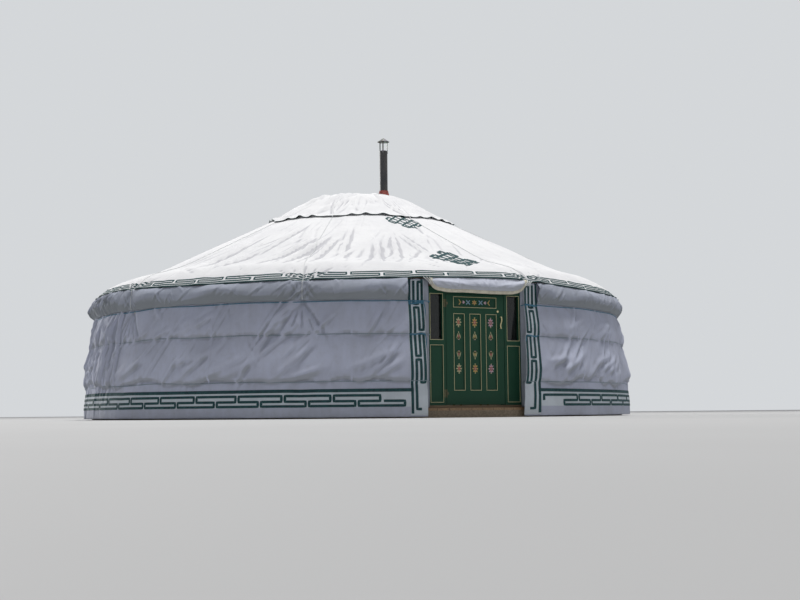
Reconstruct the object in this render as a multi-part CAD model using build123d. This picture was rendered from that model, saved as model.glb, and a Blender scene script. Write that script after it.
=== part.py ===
# A yurt 7.3 m across at the eave: a round lattice wall and bent roof poles under a felt and
# canvas cover, a domed crown with a tied cover, a timber floor and one painted panelled door.
# Millimetres, +Z up. The origin is on the yurt's axis at ground level. The door faces -Y.
# Azimuths are in degrees from the door, positive towards +X.

import os
from math import asin, atan2, ceil, cos, degrees, hypot, radians, sin, tan

from build123d import *

os.makedirs("parts", exist_ok=True)

# Fits between pieces
seat = 0.3
door_gap = 6.0
pole_play = 0.8

# Floor
bearer_height = 82.0
bearer_width = 50.0
bearer_spacing = 600.0
rim_width = 45.0
deck_thickness = 28.0
deck_top = bearer_height + deck_thickness

# Lattice wall, whose outer face sets the size of the floor and the covers
lattice_face_distance = 3606.0
lattice_height = 1380.0
slat_width = 28.0
slat_thickness = 13.0
section_count = 6
diamonds_per_section = 7
diamond_rows = 2.5
lattice_bottom = deck_top + seat
lattice_top = lattice_bottom + lattice_height
deck_radius = lattice_face_distance + 84.0

# Covers: felt and canvas together, flat between their folds
cover_facets = 40
cover_thickness = 27.0
wall_cover_top_height = lattice_top + 49.7
wall_cover_top_distance = lattice_face_distance + 38.0
hem_height = 15.0
hem_distance = lattice_face_distance + 188.0
bulge_upper_height = 1110.0
bulge_upper_distance = lattice_face_distance + 112.0
bulge_lower_height = 620.0
bulge_lower_distance = lattice_face_distance + 166.0

# Roof cover, felt and canvas together
roof_pitch = 26.15
eave_radius = lattice_face_distance + 56.0
eave_height = lattice_top + 109.7
shoulder_radius = eave_radius - 262.0
shoulder_height = eave_height + 197.0
roof_break_radius = eave_radius - 662.0
roof_break_height = eave_height + 313.0
roof_segment_count = 6

# Skirt that hangs from the eave, and its part over the door
skirt_thickness = 5.0
skirt_bulge = 32.0
skirt_bottom_height = eave_height - 248.0
valance_bottom_height = eave_height - 164.0
valance_hem_size = 26.0

# Roof poles
pole_width = 36.0
pole_depth = 36.0
pole_knee_radius = roof_break_radius + 210.0
pole_knee_drop = 130.0
pole_bend_shift = 60.0
pole_foot_radius = lattice_face_distance - slat_thickness
pole_foot_length = 165.0
door_pole_foot_length = 90.0
poles_over_door = 2
pole_groups = 2
door_pole_spread = 4.0

# Crown wheel
crown_radius = 690.0
crown_ring_width = 70.0
crown_ring_height = 118.0
crown_ring_rise = 14.0
spoke_count = 4
spoke_width = 32.0
spoke_depth = 40.0
hub_radius = 105.0
hub_depth = 60.0
spoke_stations = 10

# Crown cover
crown_cover_gores = 8
crown_cover_turn = -34.8
crown_cover_radius = 1330.0
crown_cover_thickness = 6.0
crown_height = roof_break_height + (roof_break_radius - crown_radius) * tan(radians(roof_pitch))
dome_height = crown_height + 131.0
dome_top_radius = 120.0
dome_middle_radius = 430.0
dome_middle_height = crown_height + 109.0
dome_edge_radius = crown_radius
dome_edge_height = crown_height + 44.0

# Ropes
rope_size = 14.0
rope_heights = {"upper": eave_height - 270.0, "middle": 952.0, "lower": 415.0}
rope_stand_out = {"upper": 42.0, "middle": 94.0, "lower": 155.0}
rope_distances = {name: lattice_face_distance + stand_out for name, stand_out in rope_stand_out.items()}
tie_size = 9.0
tie_play = 0.7
tie_lift = 4.0
tie_drop_length = 160.0
tie_lean = {0: 2.3, -1: 7.6, 1: 1.3}
tie_stations = 5

# Door frame, in its own flat plane
door_plane_distance = lattice_face_distance - 66.0
frame_width = 1310.0
frame_depth = 90.0
frame_top_height = lattice_top + 23.7
head_height = 80.0
sill_height = 30.0
post_width = 70.0
mullion_width = 40.0
doorway_width = 776.0
sidelight_bottom_height = 900.0
glass_thickness = 5.0
glass_groove = 6.0
stop_width = 16.0
stop_depth = 38.0
panel_recess = 12.0

# Door leaf
leaf_thickness = 45.0
leaf_setback = 2.0
outer_stile_width = 102.0
panel_width = 135.0
panel_count = 3
panel_top_height = frame_top_height - 314.0
ornament_bottom_height = frame_top_height - 233.0
ornament_top_height = frame_top_height - 116.0
bottom_rail_height = 170.0
panel_thickness = 18.0
groove_depth = 8.0

# Hinges and handle
hinge_height = 93.0
hinge_pin_radius = 3.0
hinge_barrel_radius = 5.5
hinge_offset = 6.0
hinge_sides = 12
hinge_plate_width = 28.0
hinge_plate_thickness = 2.5
hinge_low_height = 230.0
hinge_high_height = frame_top_height - 238.0
handle_height = 1036.0
handle_length = 143.0
handle_standoff = 34.0
handle_bar_size = 11.0
handle_sway = 16.0

# Flue
flue_azimuth = 19.6
flue_axis_radius = 550.0
flue_outer_radius = 56.0
flue_wall = 3.0
flue_bottom_height = crown_height - 330.0
flue_top_height = crown_height + 727.0
boot_base_radius = 79.0
boot_height_above_cover = 72.0
boot_wall = 6.0
flue_hole_clearance = 6.0
cowl_radius = 86.0
cowl_gap = 131.0
cowl_height = 57.0
cowl_sheet = 3.0
cowl_tip_radius = 4.0
round_sides = 24
cowl_leg_rise = 13.0
cowl_legs = 3
cowl_leg_width = 18.0
cowl_leg_grip = 36.0

# Derived places
lattice_inner_distance = lattice_face_distance - 2 * slat_thickness
frame_bottom = deck_top + seat
door_half_angle = degrees(asin((frame_width / 2 + seat) / lattice_inner_distance))
section_angle = (360 - 2 * door_half_angle) / section_count
diamond_angle = section_angle / diamonds_per_section
offcut_volume = slat_width ** 2 * slat_thickness
roof_slope = tan(radians(roof_pitch))
roof_top_radius = crown_radius + seat + cover_thickness / sin(radians(roof_pitch))
crown_cover_drop = crown_cover_thickness / cos(radians(roof_pitch))
hinge_x = -(doorway_width - door_gap) / 2
hinge_y = -door_plane_distance - hinge_offset
leaf_width = doorway_width - 2 * door_gap
leaf_front = -door_plane_distance + leaf_setback
leaf_back = leaf_front + leaf_thickness
leaf_bottom = frame_bottom + sill_height + door_gap
leaf_top = frame_top_height - head_height - door_gap
head_bottom = frame_top_height - head_height
frame_back = -door_plane_distance + frame_depth


def save(name, shape):
    """Write one node's solids to its own file."""
    shape.label = name
    export_step(shape, f"parts/{name}.step")


def turned(shape, azimuth):
    """Turn a shape made at the door's azimuth round the yurt's axis."""
    return shape.rotate(Axis.Z, azimuth)


def box_between(low, high):
    """A box from its lowest to its highest corner."""
    size = [b - a for a, b in zip(low, high)]
    middle = [(a + b) / 2 for a, b in zip(low, high)]
    return Pos(*middle) * Box(*size)


def offset_line(points, distance):
    """Points of a polyline moved sideways, to the right of its direction, with mitred corners."""
    headings = []
    for (x0, y0), (x1, y1) in zip(points, points[1:]):
        headings.append(atan2(y1 - y0, x1 - x0))
    moved = []
    for i, (x, y) in enumerate(points):
        before = headings[max(i - 1, 0)]
        after = headings[min(i, len(headings) - 1)]
        middle = (before + after) / 2
        reach = distance / cos((after - before) / 2)
        moved.append((x + reach * sin(middle), y - reach * cos(middle)))
    return moved


def strip(points, left, right):
    """Closed outline of a bar that reaches left and right of a polyline."""
    return offset_line(points, -left) + offset_line(points, right)[::-1]


def side_section(outline):
    """A face in the upright plane through the axis and the door: radius towards the door, height."""
    return make_face(Polyline([(0, -radius, height) for radius, height in outline], close=True))


def meridian_bar(outline, width):
    """Extrude a section to both sides of the upright plane through the door."""
    return extrude(side_section(outline), width / 2, dir=(1, 0, 0), both=True)


def polygon_corners(sides, distance, height, turn=0.0):
    """Corners of a level polygon whose flat sides, one facing the door, are at a distance."""
    corner = distance / cos(radians(180 / sides))
    corners = []
    for k in range(sides):
        azimuth = radians(turn + (k + 0.5) * 360 / sides)
        corners.append((corner * sin(azimuth), -corner * cos(azimuth), height))
    return corners


def flat_face(corners):
    """A flat face through its corners."""
    return Face(Wire.make_polygon(corners))


def faceted_solid(sides, profile, turn=0.0):
    """A solid of flat facets through a list of side distances and heights, lowest first."""
    rings = [polygon_corners(sides, distance, height, turn) for distance, height in profile]
    faces = [flat_face(rings[0]), flat_face(rings[-1])]
    for low, high in zip(rings, rings[1:]):
        for k in range(sides):
            after = (k + 1) % sides
            faces.append(flat_face([low[k], low[after], high[after], high[k]]))
    return Solid(Shell(faces))


def faceted_shell(outer, inner):
    """What lies between two lines of side distances and heights, all round the yurt."""
    return faceted_solid(cover_facets, outer) - faceted_solid(cover_facets, inner)


def wedge(start, angle):
    """Everything from one azimuth through an angle, above the ground, as a cutter."""
    reach = 2 * hem_distance
    corners = [(0, 0)]
    for share in (0, 0.5, 1):
        azimuth = radians(start + angle * share)
        corners.append((reach * sin(azimuth), -reach * cos(azimuth)))
    return extrude(make_face(Polyline(corners, close=True)), dome_height)


def roof_height(radius):
    """Height of the roof cover's outer face on its long slope."""
    return roof_break_height + (roof_break_radius - radius) * roof_slope


def wall_line():
    """Outer side distances of the wall cover, drawn in at the ropes and full between them."""
    line = [(hem_distance, hem_height)]
    middles = {
        "lower": (bulge_lower_distance, bulge_lower_height),
        "middle": (bulge_upper_distance, bulge_upper_height),
    }
    for name in ("lower", "middle", "upper"):
        line.append((rope_distances[name], rope_heights[name]))
        if name in middles:
            line.append(middles[name])
    line.append((wall_cover_top_distance, wall_cover_top_height))
    return line


def make_floor():
    """Round deck on a frame of parallel bearers inside a rim."""
    deck = faceted_solid(cover_facets, [(deck_radius, bearer_height), (deck_radius, deck_top)])
    save("floor_deck", deck)
    rim_inner = deck_radius - rim_width
    rim_outside = [(deck_radius, 0), (deck_radius, bearer_height)]
    rim_inside = [(rim_inner, 0), (rim_inner, bearer_height)]
    frame = faceted_shell(rim_outside, rim_inside)
    count = int(rim_inner // bearer_spacing)
    for i in range(-count, count + 1):
        x = i * bearer_spacing
        reach = ((rim_inner + rim_width / 2) ** 2 - (abs(x) + bearer_width / 2) ** 2) ** 0.5
        low = (x - bearer_width / 2, -reach, 0)
        frame += box_between(low, (x + bearer_width / 2, reach, bearer_height))
    save("floor_frame", frame)


def layer_sector(inner, outer):
    """One slat layer of a section: flat facets, one a diamond wide, from bottom to top."""
    corners = []
    for distance in (outer, inner):
        corner = distance / cos(radians(diamond_angle / 2))
        row = []
        for k in range(diamonds_per_section + 1):
            azimuth = radians(k * diamond_angle)
            row.append((corner * sin(azimuth), -corner * cos(azimuth)))
        corners += row if distance == outer else row[::-1]
    floor_face = make_face(Polyline(corners, close=True))
    return Pos(0, 0, lattice_bottom) * extrude(floor_face, lattice_height)


def slat_angle():
    """Angle of the slats above level, set by the number of diamonds in the height."""
    diamond_run = lattice_face_distance * radians(diamond_angle)
    return degrees(atan2(lattice_height / diamond_rows, diamond_run))


def lattice_slats(sector, way):
    """The slats of one layer, all leaning the same way."""
    middle_height = lattice_bottom + lattice_height / 2
    reach = diamond_rows / 2
    slats = []
    first = ceil(-reach - 0.75)
    last = int(diamonds_per_section + reach)
    for k in range(first, last + 1):
        azimuth = (k + 0.75) * diamond_angle
        bar = Box(3 * lattice_height, 4 * slat_thickness * diamonds_per_section, slat_width)
        bar = Rot(0, -way * slat_angle(), 0) * bar
        bar = turned(Pos(0, -lattice_face_distance, middle_height) * bar, azimuth)
        slat = sector & bar
        if slat is not None and slat.volume > offcut_volume:
            slats.append(slat)
    return slats


def make_lattice():
    """Lattice wall: two layers of crossing slats, joined where they cross."""
    middle = lattice_face_distance - slat_thickness
    outer_layer = layer_sector(middle, lattice_face_distance)
    inner_layer = layer_sector(lattice_inner_distance, middle)
    slats = lattice_slats(outer_layer, 1) + lattice_slats(inner_layer, -1)
    section = slats[0].fuse(*slats[1:]).clean()
    for i in range(section_count):
        start = door_half_angle + i * section_angle
        save(f"lattice_{i + 1}", turned(section, start))


def wall_inside_line():
    """Inner side distances of the wall cover, straight between its ends and the outer ropes."""
    line = wall_line()
    kept = (line[0], line[1], line[5], line[6])
    return [(distance - cover_thickness, height) for distance, height in kept]


def make_wall_covers():
    """Felt and canvas wall, flaring out to the hem, in segments that meet edge to edge."""
    shell = faceted_shell(wall_line(), wall_inside_line())
    for i in range(section_count):
        start = door_half_angle + i * section_angle
        save(f"wall_cover_{i + 1}", shell & wedge(start, section_angle))


def roof_line():
    """Outer face of the roof cover from the eave up to the crown."""
    return [
        (eave_radius, eave_height),
        (shoulder_radius, shoulder_height),
        (roof_break_radius, roof_break_height),
        (roof_top_radius, roof_height(roof_top_radius)),
    ]


def flue_point():
    """Place of the flue's axis, level with the ground."""
    azimuth = radians(flue_azimuth)
    return flue_axis_radius * sin(azimuth), -flue_axis_radius * cos(azimuth)


def flue_hole():
    """Cutter for the hole that the flue passes through."""
    x, y = flue_point()
    radius = flue_outer_radius + flue_hole_clearance
    height = flue_top_height - flue_bottom_height
    low = (Align.CENTER, Align.CENTER, Align.MIN)
    return Pos(x, y, flue_bottom_height) * Cylinder(radius, height, align=low)


def make_roof_covers():
    """Felt and canvas roof in segments that meet edge to edge, the first one centred over the door."""
    beyond = roof_top_radius - 3 * cover_thickness
    inner = offset_line(roof_line()[:-1] + [(beyond, roof_height(beyond))], -cover_thickness)
    shell = faceted_shell(roof_line(), inner)
    angle = 360 / roof_segment_count
    for i in range(roof_segment_count):
        save(f"roof_cover_{i + 1}", shell & wedge((i - 0.5) * angle, angle))


def skirt_line():
    """Outer side distances of the skirt, from its lower edge to the eave."""
    bottom = rope_distances["upper"] + seat + skirt_thickness
    middle = (skirt_bottom_height + eave_height) / 2
    return [
        (bottom, skirt_bottom_height),
        (bottom + skirt_bulge, middle),
        (eave_radius, eave_height - seat),
    ]


def make_skirt_and_valance():
    """Skirt round the eave, and the hemmed valance that hangs over the door."""
    inner = [(distance - skirt_thickness, height) for distance, height in skirt_line()]
    around = wedge(door_half_angle, 180 - door_half_angle)
    around += wedge(180, 180 - door_half_angle)
    save("eave_skirt", faceted_shell(skirt_line(), inner) & around)
    half = valance_hem_size / 2
    top = eave_height - seat
    middle = eave_radius - skirt_thickness / 2
    outer = [
        (middle + half / 2, valance_bottom_height),
        (middle + half, valance_bottom_height + half),
        (middle + half / 2, valance_bottom_height + 2 * half),
        (eave_radius, valance_bottom_height + 2.5 * half),
        (eave_radius, top),
    ]
    inner = [(2 * middle - distance, height) for distance, height in outer]
    over_door = wedge(-door_half_angle + 0.3, 2 * door_half_angle - 0.6)
    save("door_valance", faceted_shell(outer, inner) & over_door)


def pole_line_height(radius):
    """Height of a pole's centre line under the roof cover's long slope."""
    drop = (cover_thickness + seat + pole_depth / 2) / cos(radians(roof_pitch))
    return roof_height(radius) - drop


def roof_pole(foot_radius, foot_bottom, foot_length):
    """One pole, straight from the crown to its knee, then bent down to a plumb foot."""
    knee_height = pole_line_height(pole_knee_radius)
    foot_top = foot_bottom + foot_length
    bend_radius = (pole_knee_radius + foot_radius) / 2 + pole_bend_shift
    line = [
        (crown_radius, pole_line_height(crown_radius)),
        (pole_knee_radius, knee_height),
        (bend_radius, knee_height - pole_knee_drop),
        (foot_radius, foot_top),
        (foot_radius, foot_bottom),
    ]
    pole = meridian_bar(strip(line, pole_depth / 2, pole_depth / 2), pole_width)
    end = corner_distance(crown_radius, cover_facets) + seat
    return pole - box_between((-pole_width, -end, 0), (pole_width, -end + pole_width, dome_height))


def pole_azimuths():
    """Azimuths of the lattice heads that carry poles."""
    azimuths = []
    for i in range(section_count * diamonds_per_section):
        azimuths.append(door_half_angle + (i + 0.75) * diamond_angle)
    return azimuths


def make_roof_poles():
    """Bent poles: one in each head of the lattice, and two on the door head."""
    crossing = lattice_top - lattice_height / diamond_rows / 4
    slope = tan(radians(slat_angle()))
    crotch = crossing + slat_width / 2 / cos(radians(slat_angle())) + pole_width / 2 * slope
    pole = roof_pole(pole_foot_radius, crotch + pole_play, pole_foot_length)
    azimuths = pole_azimuths()
    share = len(azimuths) // pole_groups
    door_radius = door_plane_distance - frame_depth / 2
    door_pole = roof_pole(door_radius, frame_top_height + seat, door_pole_foot_length)
    for i in range(pole_groups):
        poles = [turned(pole, azimuth) for azimuth in azimuths[i * share:(i + 1) * share]]
        save(f"roof_poles_{i + 1}", Compound(children=poles))
    over_door = []
    for i in range(poles_over_door):
        side = 2 * i / (poles_over_door - 1) - 1
        over_door.append(turned(door_pole, side * door_pole_spread))
    save("door_poles", Compound(children=over_door))


def crown_ring_bottom():
    """Height of the crown ring's lower face."""
    return roof_height(crown_radius) + crown_ring_rise - crown_ring_height


def spoke_line(foot_height, crest):
    """Centre line of an arched spoke, from one side of the ring to the other."""
    reach = crown_radius - crown_ring_width - seat
    line = []
    for k in range(spoke_stations + 1):
        across = 2 * k / spoke_stations - 1
        line.append((across * reach, foot_height + (crest - foot_height) * (1 - across ** 2)))
    return line


def make_crown():
    """Crown wheel: a ring with arched spokes crossing under a hub."""
    bottom = crown_ring_bottom()
    top = bottom + crown_ring_height
    inner = crown_radius - crown_ring_width
    ring = faceted_shell([(crown_radius, bottom), (crown_radius, top)], [(inner, bottom), (inner, top)])
    save("crown_ring", ring)
    foot_height = bottom + crown_ring_height * 0.6
    hub_top = dome_height - crown_cover_drop - seat
    crest = hub_top - hub_depth / 2
    outline = strip(spoke_line(foot_height, crest), spoke_depth / 2, spoke_depth / 2)
    spoke = meridian_bar(outline, spoke_width)
    wheel = faceted_solid(round_sides, [(hub_radius, hub_top - hub_depth), (hub_radius, hub_top)])
    for i in range(spoke_count):
        wheel += spoke.rotate(Axis.Z, 180 / spoke_count * i)
    within = faceted_solid(cover_facets, [(inner - seat, bottom), (inner - seat, dome_height)])
    save("crown_spokes", wheel & within)


def crown_cover_profile():
    """Outer side distances and heights of the crown cover, from its rim to its top."""
    roof_fold = roof_height(crown_cover_radius * cos(radians(180 / cover_facets)))
    rim_height = roof_fold + crown_cover_drop + seat
    return [
        (crown_cover_radius, rim_height),
        (dome_edge_radius, dome_edge_height),
        (dome_middle_radius, dome_middle_height),
        (dome_top_radius, dome_height),
    ]


def gored_solid(profile):
    """A solid of flat gores, with its corners where the ties start."""
    half_gore = 180 / crown_cover_gores
    return faceted_solid(crown_cover_gores, profile, crown_cover_turn + half_gore)


def make_crown_cover():
    """Canvas cap of flat gores tied down over the crown, in two halves that meet at the flue."""
    outer = crown_cover_profile()
    inner = [(distance, height - crown_cover_drop) for distance, height in outer]
    cover = gored_solid(outer) - gored_solid(inner) - flue_hole()
    for i in range(2):
        half = wedge(flue_azimuth + 180 * i, 90) + wedge(flue_azimuth + 180 * i + 90, 90)
        save(f"crown_cover_{i + 1}", cover & half)


def corner_distance(distance, sides):
    """Distance of a polygon's corners from the axis, from that of its sides."""
    return distance / cos(radians(180 / sides))


def facet_radius(distance, azimuth):
    """Radius of a cover's flat facet at an azimuth, from the facet's distance."""
    facet_angle = 360 / cover_facets
    aside = (azimuth + facet_angle / 2) % facet_angle - facet_angle / 2
    return distance / cos(radians(aside))


def tie_path(azimuth, lean):
    """Points of one crown tie, from the cover's corner down the roof to the upper rope."""
    stand_off = tie_play + tie_size / 2
    if lean:
        stand_off += tie_lift
    corner = corner_distance(crown_cover_radius, crown_cover_gores)
    rim_height = crown_cover_profile()[0][1]
    line = []
    for k in range(tie_stations):
        radius = corner + tie_drop_length
        radius += (roof_break_radius - radius) * k / (tie_stations - 1)
        line.append((radius, roof_height(radius)))
    line.append((shoulder_radius, shoulder_height))
    line.append((eave_radius, eave_height + tie_size))
    skirt_low, skirt_middle = skirt_line()[:2]
    line.append(skirt_middle)
    line.append(skirt_low)
    lifted = offset_line(line, -stand_off)
    rope_top = rope_heights["upper"] + rope_size / 2
    inward = atan2(skirt_middle[0] - skirt_low[0], skirt_middle[1] - skirt_low[1])
    lifted[-1] = (lifted[-1][0], rope_top + 2 * seat + tie_size / 2 * sin(inward))
    travel = [0.0]
    for (r0, z0), (r1, z1) in zip(lifted, lifted[1:]):
        travel.append(travel[-1] + hypot(r1 - r0, z1 - z0))
    start = radians(azimuth)
    path = [((corner + seat) * sin(start), -(corner + seat) * cos(start), rim_height)]
    for (distance, height), along in zip(lifted, travel):
        heading = azimuth + lean * min(1.0, (along + tie_drop_length) / travel[tie_stations])
        radius = facet_radius(distance, heading)
        path.append((radius * sin(radians(heading)), -radius * cos(radians(heading)), height))
    return path


def tie_section(before, point, after):
    """Four corners of a tie's square section where two of its lengths meet."""
    ahead = (after - point).normalized() if (after - point).length else (point - before).normalized()
    behind = (point - before).normalized() if (point - before).length else ahead
    along = (ahead + behind).normalized()
    aside = along.cross(Vector(0, 0, 1)).normalized() * (tie_size / 2)
    raised = aside.cross(along) / max(0.5, along.dot(ahead))
    return [point + aside + raised, point - aside + raised, point - aside - raised, point + aside - raised]


def tie_solid(path):
    """A tie as a closed solid of flat faces along its path."""
    points = [Vector(*point) for point in path]
    befores = points[:1] + points[:-1]
    afters = points[1:] + points[-1:]
    sections = [tie_section(*three) for three in zip(befores, points, afters)]
    faces = [Face(Wire.make_polygon(sections[0])), Face(Wire.make_polygon(sections[-1]))]
    for near, far in zip(sections, sections[1:]):
        for k in range(4):
            a, b, c, d = near[k - 1], near[k], far[k], far[k - 1]
            faces.append(Face(Wire.make_polygon([a, b, c])))
            faces.append(Face(Wire.make_polygon([a, c, d])))
    return Solid(Shell(faces))


def make_crown_ties():
    """Ropes that hold the crown cover's corners down to the upper rope."""
    ties = []
    for i in range(crown_cover_gores):
        index = i if i <= crown_cover_gores // 2 else i - crown_cover_gores
        azimuth = crown_cover_turn + index * 360 / crown_cover_gores
        ties.append(tie_solid(tie_path(azimuth, tie_lean.get(index, 0.0))))
    save("crown_ties", Compound(children=ties))


def make_wall_ropes():
    """Three ropes drawn round the wall, from one door post to the other."""
    around = wedge(door_half_angle, 180 - door_half_angle)
    around += wedge(180, 180 - door_half_angle)
    bed = [(distance + seat, height) for distance, height in wall_line()]
    ropes = []
    for name, height in rope_heights.items():
        outer = rope_distances[name] + seat + rope_size
        low = height - rope_size / 2
        ring = faceted_shell([(outer, low), (outer, low + rope_size)], bed)
        ropes.append(ring & around)
    save("wall_ropes", Compound(children=ropes))


def make_sidelights():
    """Fixed light beside the door, with glass above and a solid panel below, one each side."""
    post_outer = frame_width / 2
    post_inner = post_outer - post_width
    mullion_inner = doorway_width / 2
    mullion_outer = mullion_inner + mullion_width
    bottom = frame_bottom + sill_height + seat
    front = -door_plane_distance
    groove_front = front + frame_depth / 2
    groove_low = sidelight_bottom_height - glass_groove
    panes = []
    for side, name in ((-1, "left"), (1, "right")):
        body = box_between((mullion_inner, front, bottom), (post_outer, frame_back, head_bottom - seat))
        window = box_between(
            (mullion_outer, front, sidelight_bottom_height),
            (post_inner, frame_back, head_bottom - seat),
        )
        recess = box_between(
            (mullion_outer, front, bottom + post_width),
            (post_inner, front + panel_recess, sidelight_bottom_height - post_width),
        )
        stop = box_between(
            (mullion_inner - stop_width, frame_back - stop_depth, bottom),
            (mullion_inner, frame_back, head_bottom - seat),
        )
        groove = box_between(
            (mullion_outer - glass_groove - seat, groove_front, groove_low),
            (post_inner + glass_groove + seat, groove_front + glass_thickness + 2 * seat, head_bottom),
        )
        light = body + stop - window - recess - groove
        glass = box_between(
            (mullion_outer - glass_groove, groove_front + seat, groove_low + seat),
            (post_inner + glass_groove, groove_front + seat + glass_thickness, head_bottom - 2 * seat),
        )
        if side < 0:
            light = mirror(light, about=Plane.YZ)
            glass = mirror(glass, about=Plane.YZ)
        save(f"{name}_sidelight", light)
        panes.append(glass)
    save("sidelight_glass", Compound(children=panes))


def make_head_and_sill():
    """Door head with the stop that the leaf shuts against, and the sill."""
    half = frame_width / 2
    front = -door_plane_distance
    head = box_between((-half, front, head_bottom), (half, frame_back, frame_top_height))
    inner = doorway_width / 2 - stop_width - seat
    stop_low = (-inner, frame_back - stop_depth, head_bottom - stop_width)
    stop = box_between(stop_low, (inner, frame_back, head_bottom))
    save("door_head", head + stop)
    sill_top = frame_bottom + sill_height
    save("door_sill", box_between((-half, front, frame_bottom), (half, frame_back, sill_top)))


def panel_places():
    """Low and high corners, in x and z, of the leaf's panels."""
    half = leaf_width / 2
    low = leaf_bottom + bottom_rail_height
    first = -half + outer_stile_width
    free = leaf_width - 2 * outer_stile_width - panel_count * panel_width
    step = panel_width + free / (panel_count - 1)
    places = [((first, ornament_bottom_height), (-first, ornament_top_height))]
    for i in range(panel_count):
        x = first + i * step
        places.append(((x, low), (x + panel_width, panel_top_height)))
    return places


def make_leaf():
    """Door leaf: stiles and rails round three tall panels and one ornament panel."""
    half = leaf_width / 2
    middle = (leaf_front + leaf_back) / 2
    frame = box_between((-half, leaf_front, leaf_bottom), (half, leaf_back, leaf_top))
    panels = []
    for (x0, z0), (x1, z1) in panel_places():
        frame -= box_between((x0, leaf_front, z0), (x1, leaf_back, z1))
        wide = groove_depth + seat
        thick = panel_thickness / 2 + seat
        frame -= box_between((x0 - wide, middle - thick, z0 - wide), (x1 + wide, middle + thick, z1 + wide))
        board = box_between(
            (x0 - groove_depth, middle - panel_thickness / 2, z0 - groove_depth),
            (x1 + groove_depth, middle + panel_thickness / 2, z1 + groove_depth),
        )
        panels.append(board)
    save("door_leaf", frame)
    save("door_panels", Compound(children=panels))


def barrel(low, high, radius):
    """A length of hinge barrel on the hinge's axis."""
    return Pos(hinge_x, hinge_y, 0) * faceted_solid(hinge_sides, [(radius, low), (radius, high)])


def make_hinges():
    """Two butt hinges: pin and end knuckles on the frame, middle knuckle on the leaf."""
    fixed = []
    moving = []
    face = -door_plane_distance
    third = hinge_height / 3
    for low in (hinge_low_height, hinge_high_height):
        pin = barrel(low, low + hinge_height, hinge_pin_radius)
        for start in (low, low + 2 * third):
            pin += barrel(start, start + third, hinge_barrel_radius)
        plate = box_between(
            (hinge_x - hinge_plate_width - hinge_pin_radius, face - seat - hinge_plate_thickness, low),
            (hinge_x, face - seat, low + hinge_height),
        )
        room = box_between(
            (hinge_x - hinge_barrel_radius - 3 * seat, face - 2 * hinge_offset, low + third - seat),
            (hinge_x + 3 * seat, face, low + 2 * third + seat),
        )
        fixed.append(pin + (plate - room))
        knuckle = barrel(low + third + seat, low + 2 * third - seat, hinge_barrel_radius)
        leaf_plate = box_between(
            (hinge_x, leaf_front - seat - hinge_plate_thickness, low + third + seat),
            (hinge_x + hinge_plate_width, leaf_front - seat, low + 2 * third - seat),
        )
        web = box_between(
            (hinge_x, hinge_y, low + third + seat),
            (hinge_x + hinge_barrel_radius, leaf_front - seat, low + 2 * third - seat),
        )
        clear = barrel(low + third, low + 2 * third, hinge_pin_radius + seat)
        moving.append(knuckle + leaf_plate + web - clear)
    save("hinge_pins", Compound(children=fixed))
    save("hinge_straps", Compound(children=moving))


def make_handle():
    """Curved pull handle on two feet, on the shutting stile."""
    x = leaf_width / 2 - outer_stile_width / 2
    quarter = handle_length / 4
    sway = handle_sway / 2
    sides = []
    for edge in (-handle_bar_size / 2, handle_bar_size / 2):
        lower = ThreePointArc((x + edge, 0, handle_height), (x + edge - sway, 0, handle_height + quarter),
                              (x + edge, 0, handle_height + 2 * quarter))
        upper = ThreePointArc(lower @ 1, (x + edge + sway, 0, handle_height + 3 * quarter),
                              (x + edge, 0, handle_height + handle_length))
        sides += [lower, upper]
    ends = [Line(sides[0] @ 0, sides[2] @ 0), Line(sides[1] @ 1, sides[3] @ 1)]
    front = leaf_front - seat - handle_standoff
    bar = Pos(0, front, 0) * extrude(make_face(sides + ends), handle_bar_size, dir=(0, 1, 0))
    for height in (handle_height, handle_height + handle_length - handle_bar_size):
        bar += box_between(
            (x - handle_bar_size / 2, front, height),
            (x + handle_bar_size / 2, leaf_front - seat, height + handle_bar_size),
        )
    save("door_handle", bar)


def make_flue():
    """Flue pipe through the roof, with its flexible boot and a raised conical cowl."""
    x, y = flue_point()
    low = (Align.CENTER, Align.CENTER, Align.MIN)
    length = flue_top_height - flue_bottom_height
    pipe = Cylinder(flue_outer_radius, length, align=low)
    pipe -= Cylinder(flue_outer_radius - flue_wall, length, align=low)
    save("flue_pipe", Pos(x, y, flue_bottom_height) * pipe)
    share = (dome_edge_radius - flue_axis_radius) / (dome_edge_radius - dome_middle_radius)
    cover_height = dome_edge_height + share * (dome_middle_height - dome_edge_height)
    waist = flue_outer_radius + seat + boot_wall
    boot_line = [
        (boot_base_radius, cover_height - boot_height_above_cover),
        (boot_base_radius, cover_height),
        (waist, cover_height + boot_height_above_cover),
    ]
    boot = Pos(x, y, 0) * faceted_solid(round_sides, boot_line)
    around_pipe = flue_outer_radius + seat
    bore = [(around_pipe, flue_bottom_height), (around_pipe, flue_top_height + cowl_gap)]
    boot -= Pos(x, y, 0) * faceted_solid(round_sides, bore)
    boot -= Pos(0, 0, seat) * gored_solid(crown_cover_profile())
    save("flue_boot", boot)
    hat_bottom = flue_top_height + cowl_gap
    pieces = []
    for i in range(cowl_legs):
        leg = box_between(
            (flue_outer_radius + seat, -cowl_leg_width / 2, flue_top_height - cowl_leg_grip),
            (flue_outer_radius + seat + 2 * cowl_sheet, cowl_leg_width / 2, hat_bottom + cowl_leg_rise),
        )
        pieces.append(leg.rotate(Axis.Z, 360 / cowl_legs * i))
    hat_line = [(cowl_radius, hat_bottom), (cowl_tip_radius, hat_bottom + cowl_height)]
    hat = faceted_solid(round_sides, hat_line)
    pieces.append(hat - Pos(0, 0, -cowl_sheet) * hat)
    save("flue_cowl", Pos(x, y, 0) * Compound(children=pieces))


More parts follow.
